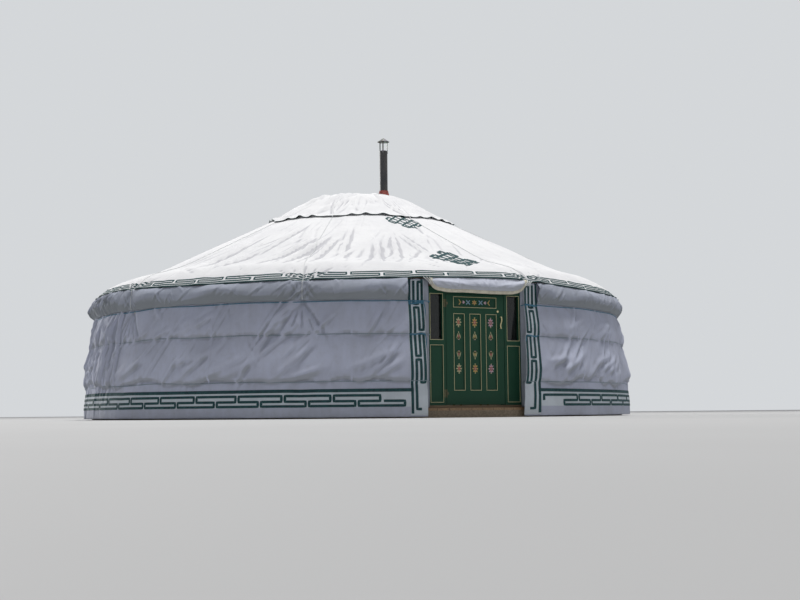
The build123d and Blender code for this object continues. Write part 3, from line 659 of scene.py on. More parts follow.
def skirt_shape(across, up):
    """Bends a grid into the skirt."""
    azimuth = skirt_first + across * (skirt_last - skirt_first)
    low = 1.343 + 0.004 * ripple(azimuth, 61, 4, 10, 60)
    height = low + up * (eave_height(azimuth) - 0.003 - low)
    belly = np.clip(0.48 + 0.10 * ripple(azimuth, 63, 5, 10, 36), 0.30, 0.66)
    under = np.sin(np.pi / 2 * np.clip(up / belly, 0.0, 1.0)) ** 0.9
    over = np.cos(np.pi / 2 * np.clip((up - belly) / (1 - belly), 0.0, 1.0)) ** 0.9
    full = 0.056 * (1 + 0.22 * ripple(azimuth, 62, 5, 6, 40)) * np.where(up < belly, under, over)
    radius = 3.666 + 0.002 * up + full * (1 - 0.75 * pinch(azimuth, 1.3))
    folded = fold_height(np.radians(azimuth) * wall_run, height, folds_of_skirt)
    return place(azimuth, radius + folded * smooth_step(up, -0.1, 0.12), height)


skirt = Sheet("eave_skirt_canvas", 1500, 18, skirt_shape,
              (math.radians(skirt_last - skirt_first) * wall_run, 0.26), 0.003)
dress(skirt.piece, shaded_skirt_cloth, "structure", "wall_canvas", "eave_skirt")

# %% [markdown]
# Over the door the skirt becomes a short valance. It is rolled up a little way, so it has a soft belly,
# a stuffed hem of unbleached cloth, and corners that are pulled up and tied to the eave.

# %% Door valance
valance_first, valance_last = -9.7, 10.4
valance_edge = [(-9.7, 1.588), (-9.4, 1.535), (-8.8, 1.490), (-7.6, 1.468), (-3.0, 1.456), (1.0, 1.450),
                (5.0, 1.452), (7.5, 1.464), (9.0, 1.500), (9.8, 1.552), (10.4, 1.600)]
valance_swags = [(-0.58, 1.585, -0.22, 1.475, 0.020, 0.010), (-0.58, 1.590, -0.05, 1.500, 0.018, 0.008),
                 (-0.45, 1.560, -0.30, 1.47, 0.016, -0.006), (0.64, 1.595, 0.30, 1.478, 0.020, 0.010),
                 (0.62, 1.590, 0.12, 1.500, 0.018, 0.008), (-0.10, 1.60, 0.02, 1.47, 0.020, 0.005),
                 (0.16, 1.60, 0.24, 1.47, 0.018, -0.005), (-0.30, 1.60, -0.20, 1.50, 0.016, 0.005),
                 (0.42, 1.60, 0.36, 1.49, 0.016, 0.005), (0.50, 1.58, 0.44, 1.47, 0.014, -0.004)]
valance_swags += random_folds(
    1.0, (64, 34, -0.56, 0.60, 1.47, 1.60, (-30, 30), (0.08, 0.17), (0.009, 0.016), (-0.003, 0.007)))


def valance_shape(across, up):
    """Bends a grid into the valance."""
    azimuth = valance_first + across * (valance_last - valance_first)
    low = through(azimuth, valance_edge)
    drop = eave_height(azimuth) - 0.003 - low
    height = low + up * drop
    belly = 0.050 * np.sin(np.pi * np.clip(1 - up, 0, 1) ** 1.2) * np.clip(drop / 0.17, 0, 1)
    folded = fold_height(np.radians(azimuth) * 3.67, height, valance_swags)
    return place(azimuth, eave_radius + belly + folded, height)


valance = Sheet("door_valance_canvas", 120, 20, valance_shape, (1.29, 0.17), 0.003)
dress(valance.piece, shaded_valance_cloth, "structure", "wall_canvas", "door_valance")

# %% [markdown]
# The crown cover is a cap with eight tied corners. It lies on the roof round its rim and swells over
# the crown wheel. The rim is pulled tight at the corners and lifts in small waves between them. The
# faces round the flue are taken away.

# %% Crown cover
corner_azimuths = np.array([-124.0, -71.0, -35.5, 5.0, 46.0, 96.0, 142.0, 188.0, 236.0])
crown_start = corner_azimuths[0]
crown_run = 1.3
one_degree = 0.01745
dome_knots = [(0.0, 3.178), (0.20, 3.173), (0.40, 3.154), (0.60, 3.120), (0.70, 3.091), (0.80, 3.047),
              (0.90, 2.992), (1.0, 2.930), (1.1, 2.868), (1.2, 2.807), (1.35, 2.732), (1.5, 2.659),
              (1.7, 2.561)]
crown_folds = random_folds(
    1.0,
    (72, 90, -2.9, 5.4, 0.5, 1.4, (-40, 40), (0.15, 0.45), (0.014, 0.03), (-0.010, 0.012)),
    (73, 36, -2.9, 5.4, 0.5, 1.3, (-55, 55), (0.35, 0.80), (0.030, 0.055), (0.008, 0.022)))
for centre in corner_azimuths[:-1]:
    x = math.radians(centre) * crown_run
    for lean in (-0.17, -0.09, 0.09, 0.17):
        crown_folds.append((x, 1.45, x + lean, 0.85, 0.018, 0.016))


def corner_share(azimuth):
    """How far between two corners an azimuth is, from 0 to 1, and the width between them."""
    azimuth = (np.asarray(azimuth) - crown_start) % 360 + crown_start
    index = np.clip(np.searchsorted(corner_azimuths, azimuth, side="right") - 1, 0, len(corner_azimuths) - 2)
    width = corner_azimuths[index + 1] - corner_azimuths[index]
    return (azimuth - corner_azimuths[index]) / width, width


def crown_rim(azimuth):
    """Radius of the crown cover's rim."""
    share, width = corner_share(azimuth)
    across = np.cos(np.radians(width / 2)) / np.cos(np.radians((share - 0.5) * width))
    hollow = np.interp(width, [41.0, 50.0, 53.0], [0.55, 0.80, 1.30])
    reach = 1.462 * across ** hollow - 0.012 * np.sin(np.pi * share)
    return reach * (1 + 0.03 * np.cos(np.radians(azimuth + 55.0)))


def crown_shape(across, up):
    """Bends a grid into the crown cover; up runs from the rim to the middle."""
    azimuth = crown_start + across * 360
    share, width = corner_share(azimuth)
    rim = crown_rim(azimuth)
    radius = rim * (1 - up) ** 0.85 + 0.004
    slack = np.sin(np.pi * share) ** 0.8
    near_rim = smooth_step(radius / rim, 0.80, 1.0)
    wave = 0.5 + 0.5 * np.cos(2 * np.pi * (share * 4.5 + 0.2 * ripple(azimuth, 71, 3, 2, 12)))
    from_seam = np.minimum(share, 1 - share) * width * radius * one_degree
    height = through(radius, dome_knots) + 0.004
    height = height + 0.022 * slack * bell(radius - rim, -0.30, 0.11)
    height = height + slack * near_rim ** 2 * (0.004 + 0.024 * wave ** 2)
    height = height + 0.012 * bell(from_seam, 0.0, 0.045) * smooth_step(radius, 0.3, 0.7)
    height = height - 0.014 * slack * smooth_step(radius, 0.75, 1.1) * (1 - near_rim)
    return place(azimuth, radius, height + fold_height(np.radians(azimuth) * crown_run, radius, crown_folds))


crown = Sheet("crown_cover_canvas", 480, 56, crown_shape, (2 * math.pi * crown_run, 1.8), 0.0)
close_round(crown.piece)
flue_centre = Vector((0.1845, -0.5181))
flue_hole = 0.070
cut = bmesh.new()
cut.from_mesh(crown.piece.data)
at_flue = [face for face in cut.faces if (face.calc_center_median().xy - flue_centre).length < flue_hole]
bmesh.ops.delete(cut, geom=at_flue, context="FACES")
cut.to_mesh(crown.piece.data)
cut.free()
dress(crown.piece, roof_cloth, "structure", "roof_canvas", "crown_cover_1", "crown_cover_2")

# %% [markdown]
# The borders are dark green tape sewn on in a running meander, one of the oldest patterns on felt
# tents. One line goes along the top, turns down, back along the middle, down again and on along the
# bottom, so each unit locks into the next. It is worked out once and laid along hem, eave and door.

# %% Border tape
def blotched(name, light, dark, scale, detail=4.0, rough=0.6, stretch=(1, 1, 1), blur=0.2, **constants):
    """A finish whose colour is blotched by soft noise, and that noise."""
    finish = Finish(name, **constants)
    blotch = finish.noise(finish.where(stretch), scale, detail, rough)
    finish.colour(finish.mix(blotch.above(0.5, blur) if blur else blotch, light, dark))
    return finish, blotch


tape, tape_tone = blotched("border_tape", (0.008, 0.040, 0.046), (0.022, 0.080, 0.086), 22.0)
tape.rough(0.74 + tape_tone * 0.18)
tape.bump(tape.wave(tape.where(uv=True), 220.0) + tape_tone * 0.8, 0.4, 0.0008)


def meander(start, period, count, low, middle, high, gap=0.072):
    """The running meander as one line, in metres along and up."""
    unit = ((0, high), (1 - gap, high), (1 - gap, middle), (0.5, middle), (0.5, low), (1.5 - gap, low),
            (1.5 - gap, middle), (1, middle))
    line = [(start, middle)]
    for k in range(count):
        line += [(start + k * period + period * share, height) for share, height in unit]
    return line


def clipped(line, length):
    """The runs of a line that lie on a cloth of this length."""
    runs, run = [], []
    for point in finer(line, 0.02):
        if 0.0 <= point[0] <= length * 0.9999:
            run.append(tuple(point))
        elif run:
            runs.append(run)
            run = []
    return [run for run in runs + [run] if len(run) > 1]


def sew(name, placed, width, lift, material=tape.material, slot="border_tape"):
    """Tape along lines; placed holds pairs of a sheet and a line in metres on it."""
    rings = [ribbon_rings(sheet, run, width, lift)
             for sheet, line in placed for run in clipped(line, sheet.size[0])]
    border = from_rings(name, rings)
    smooth(border)
    dress(border, material, "structure", slot)
    return border


def on_wall(lines):
    """Lines in azimuth and height, placed on both sheets of the wall."""
    placed = []
    for sheet, first, last in wall_sheets:
        for line in lines:
            spots = []
            for azimuth, height in line:
                rise = float(wall_top(azimuth)) - wall_foot
                spots.append(((azimuth % 360 - first) / (last - first) * sheet.size[0],
                              (height - wall_foot) / rise * wall_rise))
            placed.append((sheet, spots))
    return placed


def on_roof(lines):
    """Lines in azimuth and metres up the slope, placed on the roof."""
    return [(roof, [((azimuth + 180) / 360 * roof.size[0], up) for azimuth, up in line]) for line in lines]

# %% [markdown]
# On the wall the meander runs along the hem and stands upright beside the door, each on a band of
# paler canvas. A pattern in the canvas's finish could show it, but sewn strips catch the light at
# their edges and follow every fold, so the bands and the tape are real pieces.

# %% Borders on the wall
turns = 39
band_first, band_last = 13.6, 345.7
band_period = (band_last - band_first) / (turns + 0.5)
strip_top, strip_bottom = 1.565, 0.10


def level_lines(*heights):
    """Lines that go all along the hem."""
    return [[(band_first - 1.0, height), (band_last + 1.0, height)] for height in heights]


def door_strip(outer, inner):
    """A border that stands beside the door: a plain line outside and the meander turned upright."""
    count = int((strip_top - strip_bottom) / 0.50)
    period = (strip_top - strip_bottom) / (count + 0.45)
    third = (outer - inner) / 3.0
    key = meander(strip_bottom, period, count, inner, inner + 0.95 * third, inner + 2.0 * third)
    key_end = strip_bottom + count * period
    key += [(key_end, inner + 2.0 * third), (strip_top, inner + 2.0 * third)]
    return [[(outer, strip_bottom - 0.05), (outer, strip_top + 0.02)],
            [(azimuth, height) for height, azimuth in key],
            [(inner, key_end + 0.05), (inner, strip_top + 0.02)]]


hem_ground = sew("hem_ground", on_wall(level_lines(0.154, 0.205, 0.256, 0.307)), 0.053, 0.0024,
                 shaded_border_cloth, "wall_canvas")
hem_key = meander(band_first, band_period, turns, 0.142, 0.1945, 0.2575)
hem_border = sew("hem_border", on_wall(level_lines(0.312, 0.320) + [hem_key]), 0.030, 0.0048)
strip_lines = [[(azimuth, 0.03), (azimuth, 1.575)]
               for azimuth in (-13.45, -12.65, -11.85, -11.28, 10.25, 11.0, 11.8, 12.6)]
strip_ground = sew("door_border_ground", on_wall(strip_lines), 0.054, 0.0026, shaded_border_cloth, "wall_canvas")
left_strip = sew("left_door_border", on_wall(door_strip(-13.55, -11.25)), 0.030, 0.0056)
right_strip = sew("right_door_border", on_wall(door_strip(12.85, 10.2)), 0.030, 0.0056)

# %% [markdown]
# A narrow meander and one plain line edge the roof, just above the eave. It is the same tape, laid by
# azimuth and by metres up the slope, with one unit more than fits, so that it runs on at the back.

# %% Border on the roof's edge
eave_turns = 30
eave_period = 360.0 / eave_turns
eave_key = meander(-180.0 - eave_period, eave_period, eave_turns + 1, 0.046, 0.084, 0.122)
eave_border = sew("eave_border", on_roof([[(-179.99, 0.012), (179.99, 0.012)], eave_key]), 0.019, 0.0030)

# %% [markdown]
# Over the door the roof carries two endless knots, a woven diamond whose one line has no end. Four
# bars slant each way and their ends are joined in pairs by turned corners. Each bar passes over and
# under the others, which shows as small gaps where it dips.

# %% Endless knots
def knot_lines(middle, aside, above):
    """Bars and corners of an endless knot on the roof; its middle and two half diagonals are in x and y."""
    spots = (-0.72, -0.24, 0.24, 0.72)
    half_gap = 0.115
    lines = []

    def put(p, q):
        """From the knot's own slanting axes to azimuth and metres up the roof."""
        x, y = (middle[k] + (p - q) / 2 * aside[k] + (p + q) / 2 * above[k] for k in (0, 1))
        up = np.interp(math.hypot(x, y), slope_radii, slope_from_eave)
        return (math.degrees(math.atan2(x, -y)), float(up))

    for row, fixed in enumerate(spots):
        for way in (0, 1):
            cuts = [-1.0]
            for column, crossing in enumerate(spots):
                if (row + column + way) % 2:
                    cuts += [crossing - half_gap, crossing + half_gap]
            cuts.append(1.0)
            for a, b in zip(cuts[::2], cuts[1::2]):
                lines.append([put(a, fixed), put(b, fixed)] if way else [put(fixed, a), put(fixed, b)])
    for end in (-1.0, 1.0):
        for low, high in (spots[:2], spots[2:]):
            lines.append([put(end, low), put(end, high)])
            lines.append([put(low, end), put(high, end)])
    return lines


upper_lines = knot_lines((-0.03, -1.64), (0.25, -0.06), (0.01, 0.31))
lower_lines = knot_lines((-0.02, -3.07), (0.30, -0.10), (0.05, 0.385))
upper_knot = sew("upper_roof_knot", on_roof(upper_lines), 0.042, 0.0030)
lower_knot = sew("lower_roof_knot", on_roof(lower_lines), 0.046, 0.0030)

# %% [markdown]
# Piping and ropes. A cord is a tube round a path; the paths are read from the cloth, so each cord lies
# in its place. The eave and the crown's rim are edged with dark piping.

# %% Cords
def corded(name, colour, lay):
    """Laid rope: strands wind round it, and the lay shows as slanting ridges."""
    finish = Finish(name)
    strand = finish.wave(finish.where((1.0 / lay, 3.0, 1.0), uv=True), 0.32, "DIAGONAL")
    tone = finish.noise(finish.where(), 30.0, 3.0)
    shade = (colour[0] * 0.55, colour[1] * 0.6, colour[2] * 0.62)
    finish.colour(finish.mix(strand * 0.5 + tone * 0.3, colour, shade))
    finish.rough(0.6 + tone * 0.2)
    finish.bump(strand, 0.5, 0.001)
    return finish.material


blue_cord = corded("blue_rope", (0.075, 0.24, 0.36), 0.012)
grey_cord = corded("grey_rope", (0.30, 0.37, 0.42), 0.012)
white_cord = corded("white_rope", (0.90, 0.90, 0.89), 0.010)
piping_finish = corded("dark_piping", (0.012, 0.055, 0.055), 0.02)


def make_cord(name, paths, radius, material, slot, *replaced, sides=8):
    """A cord or several, all of one radius."""
    piece = from_rings(name, [tube_rings(path, radius, sides) for path in paths])
    choose(piece)
    bpy.ops.object.shade_smooth()
    dress(piece, material, "structure", slot, *replaced)
    return piece


around = np.linspace(-179.95, 179.95, 721)
eave_path = roof.at((around + 180) / 360, np.zeros_like(around), 0.004)
eave_piping = make_cord("eave_piping", [eave_path], 0.007, piping_finish, "blue_rope")
rim_share = np.linspace(0.0001, 0.9999, 901)
rim_path = crown.at(rim_share, np.zeros_like(rim_share), 0.0)
crown_piping = make_cord("crown_piping", [rim_path], 0.0036, piping_finish, "blue_rope")

# %% [markdown]
# Three ropes go round the wall from one door post to the other. They are taut, so no cloth or rope
# has to be simulated: their paths are read from the wall's plain shape. Beside the door a few turns
# of rope are lashed round the edge of the canvas.

# %% Ropes round the wall
def rope_path(name, height):
    """A rope's way round the wall and, at both ends, across to the door post."""
    azimuth = np.linspace(door_right + 0.1, door_left - 0.1, 700)
    wall_at = wall_radius(azimuth, np.full_like(azimuth, height)) + 0.0050
    if name == "upper":
        wall_at = np.maximum(wall_at, 3.6570)
    run = place(azimuth - door_pull(azimuth, height), wall_at, height + 0.006 * ripple(azimuth, 81, 4, 6, 30))
    start = np.array([[0.612, -3.548, height - 0.012], [0.618, -3.562, height - 0.010],
                      [0.628, -3.62, height - 0.004]])
    end = start[::-1] * np.array([-1, 1, 1])
    drawn = np.radians(door_pull(door_right, height)) * wall_run
    start[:, 0] -= drawn * np.array([0.0, 0.1, 0.5])
    return np.concatenate([start, run, end])


def lashing(azimuth, height, turns, side):
    """Turns of rope round the edge of the canvas beside the door, with a hanging tail."""
    reach = np.linspace(0.0, 2.9, 16)
    spots = azimuth + side * reach
    paths = []
    for k in range(turns):
        z = height + 0.010 * k
        radius = wall_radius(spots, np.full(16, z)) + 0.006
        paths.append(place(spots - door_pull(spots, z), radius, z + 0.006 * np.sin(reach * 2 + k)))
    edge = place(azimuth - door_pull(azimuth, height), wall_radius(azimuth, height) + 0.012, height)
    drop = np.linspace(0.0, 1.0, 10)
    tail = edge + np.stack([side * -0.012 * np.sin(drop * 3), -0.004 * drop, -0.16 * drop], axis=1)
    return paths + [tail]


rope_paths = {name: rope_path(name, height) for name, height in rope_rows.items()}
make_cord("wall_rope_lines", [rope_paths["upper"]], 0.0048, blue_cord, "blue_rope", "wall_ropes")
make_cord("lower_rope_lines", [rope_paths["middle"], rope_paths["lower"]], 0.0040, grey_cord, "blue_rope",
          "wall_ropes")
lashing_paths = (lashing(-10.9, 1.300, 4, -1) + lashing(10.1, 1.318, 2, 1)
                 + lashing(10.1, 0.948, 2, 1) + lashing(-10.9, 0.945, 2, -1))
make_cord("door_rope_lashings", lashing_paths, 0.0050, blue_cord, "blue_rope")

# %% [markdown]
# A white rope runs from each corner of the crown cover down the roof, over the eave at a pinch, and
# hangs to the upper rope. Its foot stands a few degrees beside its corner.

# %% Ties of the crown cover
feet = {-124.0: -120.0, -71.0: -72.4, -35.5: -32.7, 5.0: 11.3, 46.0: 54.0, 142.0: 139.0, 188.0: 184.0}


def crown_tie(corner, foot):
    """Path of a tie, from the crown cover's corner over the roof and the skirt to the upper rope."""
    start = crown.at([((corner - crown_start) % 360) / 360], [0.0], 0.004)[0]
    radii = np.concatenate([np.linspace(1.53, 3.2, 26), np.linspace(3.25, 3.66, 14)])
    lengths = np.interp(radii, slope_radii, slope_from_eave)
    azimuth = corner + (foot - corner) * np.linspace(0, 1, len(radii)) ** 0.9
    run = roof.at(((azimuth + 180) % 360) / 360, lengths / slope_length, 0.006)
    down = np.linspace(1.0, 0.0, 9)
    if skirt_first < foot % 360 < skirt_last:
        hang = skirt.at(np.full(9, (foot % 360 - skirt_first) / (skirt_last - skirt_first)), down, 0.006)
    else:
        hang = place(foot, eave_radius, 1.345 + down * (float(eave_height(foot)) - 1.36))
    return np.concatenate([[start], run, hang])


tie_paths = [crown_tie(corner, feet.get(corner, corner)) for corner in corner_azimuths[:-1]]
make_cord("crown_tie_lines", tie_paths, 0.0036, white_cord, "white_rope", "crown_ties")

# %% [markdown]
# The valance ends in a stuffed hem of unbleached cloth. It is made as a thick cord along the lower
# edge, because it is round and follows each swag. At each corner three short cords draw it up.

# %% Hem and cords of the valance
linen, linen_tone = blotched("unbleached_linen", (0.80, 0.75, 0.61), (0.62, 0.58, 0.47), 18.0, 5.0)
linen.rough(0.85)
linen.bump(linen.wave(linen.where(uv=True), 120.0) + linen_tone, 0.4, 0.001)
hem_path = valance.at(np.linspace(0.0, 1.0, 80), np.zeros(80)) + np.array([0, 0.002, 0.008])
valance_hem = make_cord("valance_hem", [hem_path], 0.026, linen.material, "wall_canvas", sides=14)
valance_ties = []
for low, high in (((-9.45, 3.700, 1.520), (-10.5, 3.690, 1.606)),
                  ((9.9, 3.700, 1.545), (11.0, 3.690, 1.612))):
    for shift in (-0.35, 0.0, 0.35):
        first, last = place(low[0] + shift, *low[1:]), place(high[0] + shift * 1.6, *high[1:])
        bow = place((low[0] + high[0]) / 2 + shift, 3.716, (low[2] + high[2]) / 2 + 0.006)
        t = np.linspace(0, 1, 10)[:, None]
        valance_ties.append((1 - t) ** 2 * first + 2 * t * (1 - t) * bow + t * t * last)
make_cord("valance_ties", valance_ties, 0.0045, white_cord, "white_rope")

# %% [markdown]
# The canvas turns in beside the door and meets the frame. Inside, a felt lining hangs outside the
# lattice and a second one lies over the roof poles, so the open door shows a finished room.

# %% Reveals and linings
felt, felt_tone = blotched("felt_lining", (0.76, 0.72, 0.63), (0.62, 0.57, 0.49), 9.0, 6.0, 0.65, blur=0.25)
felt.rough(0.88 + felt_tone * 0.10)
felt.bump(felt.noise(felt.where((1, 1, 3)), 260.0, 3.0, 0.7) + felt_tone, 0.5, 0.0015)


def reveal_shape(side):
    """A function that bends a grid into the canvas that turns in beside the door."""
    def shape(across, up):
        height = 0.118 + up * (1.590 - 0.118)
        azimuth = door_right if side > 0 else door_left
        outer = place(azimuth - door_pull(azimuth, height), wall_radius(azimuth, height) - 0.002, height)
        inner = np.stack([np.full_like(height, side * 0.606), np.full_like(height, -3.544), height], axis=-1)
        share = across[:, None]
        points = outer * (1 - share) + inner * share
        points[:, 0] += side * 0.010 * np.sin(np.pi * across) * (1 + 0.5 * np.sin(height * 19.0))
        points[:, 1] -= 0.006 * np.sin(np.pi * across) * np.sin(height * 31.0)
        return points
    return shape


def wall_lining_shape(across, up):
    """Bends a grid into the lining round the lattice."""
    azimuth = 10.8 + across * 338.4
    return place(azimuth, 3.622 + 0.004 * ripple(azimuth, 91, 5, 20, 70) * up, 0.116 + up * 1.365)


def roof_lining_shape(across, up):
    """Bends a grid into the lining over the poles."""
    azimuth = -180 + across * 360
    radius = 3.40 - up * 2.68
    sag = 0.004 * np.cos(np.radians(azimuth) * pole_count)
    return place(azimuth, radius, roof_height(radius) - 0.052 - sag)


left_reveal = Sheet("left_reveal", 10, 60, reveal_shape(-1), (0.13, 1.47), 0.002).piece
right_reveal = Sheet("right_reveal", 10, 60, reveal_shape(1), (0.13, 1.47), 0.002).piece
wall_lining = Sheet("wall_lining", 260, 8, wall_lining_shape, (21.4, 1.365), 0.004, 0.0).piece
roof_lining = Sheet("roof_lining", 336, 20, roof_lining_shape, (13.5, 3.0), 0.004, 0.0).piece
for reveal in (left_reveal, right_reveal):
    dress(reveal, shaded_skirt_cloth, "structure", "wall_canvas")
for lining in (wall_lining, roof_lining):
    dress(lining, felt.material, "structure", "felt")

# %% [markdown]
# Canvas comes in strips, so both roof and wall have flat-felled seams: a strip of doubled cloth that
# stands a little proud. They are laid on the cloth like the borders, but in canvas.

# %% Seams
roof_seams = [[(azimuth, 0.14), (azimuth + 0.6, 1.2), (azimuth, slope_length - 0.70)]
              for azimuth in range(-162, 180, 36)]
roof_seam_strips = sew("roof_seams", on_roof(roof_seams), 0.024, 0.0016, roof_cloth, "roof_canvas")
wall_seams = [[(azimuth, 0.02), (azimuth + 0.15, 0.7), (azimuth, 1.50)] for azimuth in range(24, 340, 26)]
wall_seam_strips = sew("wall_seams", on_wall(wall_seams), 0.022, 0.0014, shaded_wall_cloth, "wall_canvas")

# %% [markdown]
# Painted joinery. The paint is dark green and glossy, with brush marks along the grain and a little
# wear. Beads of thin cream line run round every panel and pane. They start as flat rectangles, are
# inset, and the ring that is left is extruded.

# %% Joinery
green = Finish("green_paint", Specular_IOR_Level=0.3)
brush = green.noise(green.where((60.0, 60.0, 3.0)), 1.0)
patch = green.noise(green.where(), 7.0, 5.0)
green_tone = green.mix(brush * 0.55, (0.008, 0.056, 0.029), (0.015, 0.082, 0.043))
green.colour(green.mix(patch.above(0.66, 0.08) * 0.5, green_tone, (0.026, 0.068, 0.040)))
green.rough(0.42 + brush * 0.16 + patch * 0.10)
green.bump(brush * 0.6 + patch * 0.4, 0.35, 0.0006)


def plain_paint(name, *colour):
    """Hand-painted colour with brush marks."""
    finish, mark = blotched(name, colour, [value * 0.7 for value in colour], 220.0, 3.0, blur=0)
    finish.rough(0.42 + mark * 0.2)
    finish.bump(mark, 0.3, 0.0004)
    return finish.material


paints = {"cream": plain_paint("cream_trim", 0.66, 0.62, 0.36),
          "rose": plain_paint("rose_paint", 0.58, 0.17, 0.15),
          "gold": plain_paint("gold_paint", 0.66, 0.45, 0.15),
          "blue": plain_paint("blue_paint", 0.30, 0.48, 0.66),
          "mauve": plain_paint("mauve_paint", 0.72, 0.50, 0.58)}


def joined(parts, name):
    """Several parts as one piece."""
    choose(*parts)
    bpy.ops.object.join()
    piece = bpy.context.active_object
    piece.name = name
    return piece


def grown(openings, margin):
    """Rectangles made larger by a margin all round."""
    return [(x0 - margin, z0 - margin, x1 + margin, z1 + margin) for x0, z0, x1, z1 in openings]


def added(operator, scale=(1.0, 1.0, 1.0), **settings):
    """A new primitive, with its place and its scale applied."""
    choose()
    operator(**settings)
    part = bpy.context.active_object
    part.scale = scale
    bpy.ops.object.transform_apply(location=True, rotation=True, scale=True)
    return part


def beads(name, openings, face, width, proud, material, body):
    """Thin raised beads round rectangles on an upright face at y = face."""
    parts = []
    for x0, z0, x1, z1 in openings:
        part = added(bpy.ops.mesh.primitive_plane_add, (x1 - x0, z1 - z0, 1.0), size=1.0,
                     location=((x0 + x1) / 2, face, (z0 + z1) / 2), rotation=(math.pi / 2, 0, 0))
        bpy.ops.object.mode_set(mode="EDIT")
        bpy.ops.mesh.select_all(action="SELECT")
        bpy.ops.mesh.inset(thickness=width, depth=0.0)
        bpy.ops.mesh.delete(type="FACE")
        bpy.ops.mesh.select_all(action="SELECT")
        bpy.ops.mesh.extrude_region_move(TRANSFORM_OT_translate={"value": (0, -proud, 0)})
        bpy.ops.object.mode_set(mode="OBJECT")
        parts.append(part)
    piece = joined(parts, name)
    round_off = piece.modifiers.new("rounding", "BEVEL")
    round_off.width = width * 0.2
    round_off.segments = 2
    bpy.ops.object.modifier_apply(modifier=round_off.name)
    smooth(piece)
    dress(piece, material, body, "trim_paint")
    print(name, len(piece.data.polygons), "faces")


panels = [(-0.280, 0.316, -0.145, 1.200), (-0.0675, 0.316, 0.0675, 1.200), (0.145, 0.316, 0.280, 1.200),
          (-0.280, 1.281, 0.280, 1.398)]
panes = [(-0.592, 0.893, -0.421, 1.432), (0.421, 0.893, 0.592, 1.432), (-0.592, 0.172, -0.421, 0.838),
         (0.421, 0.172, 0.592, 0.838)]
leaf_face, panel_face, frame_face = -3.5380, -3.5245, -3.5400
beads("door_beads", grown(panels, 0.006), leaf_face, 0.0070, 0.0018, paints["cream"], "door")
beads("pane_beads", panes, frame_face, 0.0070, 0.0018, paints["cream"], "structure")
beads("panel_beads", grown(panels, -0.012), panel_face, 0.0040, 0.0012, green.material, "door")

# %% [markdown]
# The leaf is decorated with flowers and buds in slightly raised paint, and a row of leaves fills the
# top panel. Every petal is a flattened sphere; the petals of one colour are joined into one piece.

# %% Painted ornament
petals = {colour: [] for colour in paints}
petal_depth = 0.0030
top_row = 1.3395


def petal(colour, x, z, wide, high, turn=0.0):
    """Note one petal by its middle, its size and its lean in degrees."""
    petals[colour].append((x, z, wide, high, turn))


def petals_round(colour, x, z, turns, out, wide, high, side=1):
    """Petals round a point that lean outwards; their middles lie out (sideways, up) from it."""
    for turn in turns:
        lean = math.radians(turn)
        dx, dz = side * out[0] * math.sin(lean), out[1] * math.cos(lean)
        petal(colour, x + dx, z + dz, wide, high, side * turn)


def rosette(x, z, outer, inner, heart):
    """A tall flower of eight petals round an oval heart."""
    petals_round(outer, x, z, range(0, 360, 45), (0.023, 0.038), 0.018, 0.030)
    petals_round(inner, x, z, range(30, 360, 60), (0.011, 0.018), 0.015, 0.022)
    petal(heart, x, z, 0.012, 0.018)
    for end in (-1, 1):
        petal("cream", x, z + end * 0.056, 0.020, 0.007)


def bud(x, z, way, heart):
    """A bud between two leaves, pointing up or down."""
    for side in (-1, 1):
        petal("cream", x + side * 0.017, z, 0.011, 0.064, side * way * -18.0)
        petal("gold", x + side * 0.011, z - way * 0.036, 0.007, 0.020, side * way * 40.0)
    petal(heart, x, z - way * 0.006, 0.019, 0.038)
    petal("cream", x, z + way * 0.040, 0.011, 0.026)
    petal("mauve", x, z - way * 0.044, 0.022, 0.007)


for x, outer, inner, heart in ((-0.2125, "cream", "rose", "gold"), (0.0, "gold", "rose", "cream"),
                               (0.2125, "mauve", "rose", "blue")):
    for z in (1.105, 0.565):
        rosette(x, z, outer, inner, heart)
    for z, way in ((0.947, 1), (0.726, -1)):
        bud(x, z, way, "rose" if x else "gold")
petals_round("gold", 0.0, top_row, range(0, 360, 60), (0.018, 0.018), 0.015, 0.028)
petal("rose", 0.0, top_row, 0.020, 0.020)
for side in (-1, 1):
    petals_round("blue", side * 0.083, top_row, (45, 135, 225, 315), (0.019, 0.019), 0.014, 0.036)
    petal("cream", side * 0.083, top_row, 0.009, 0.009)
    for lean, reach in ((55, 0.015), (90, 0.017), (125, 0.015)):
        petals_round("mauve", side * 0.128, top_row, (lean,), (reach, reach), 0.013, 0.034, side)
    petals_round("gold", side * 0.182, top_row, (35, 145), (0.020, 0.020), 0.013, 0.042, side)
    petal("gold", side * 0.178, top_row, 0.012, 0.012)

for colour, material in paints.items():
    parts = []
    for x, z, wide, high, turn in petals[colour]:
        parts.append(added(bpy.ops.mesh.primitive_uv_sphere_add, (wide, petal_depth, high), segments=14,
                           ring_count=8, radius=0.5, location=(x, panel_face, z),
                           rotation=(0, math.radians(turn), 0)))
    painted = joined(parts, f"{colour}_petals")
    bpy.ops.object.shade_smooth()
    dress(painted, material, "door", "trim_paint")
    print(painted.name, len(parts), "petals")

# %% [markdown]
# Everything that the solid model already shapes well keeps its shape and gets its real surface. The
# timber comes first: riven wood inside, boards underfoot. A picture of wood would repeat on so many
# poles, so the grain is noise stretched along their length, with a few darker years.

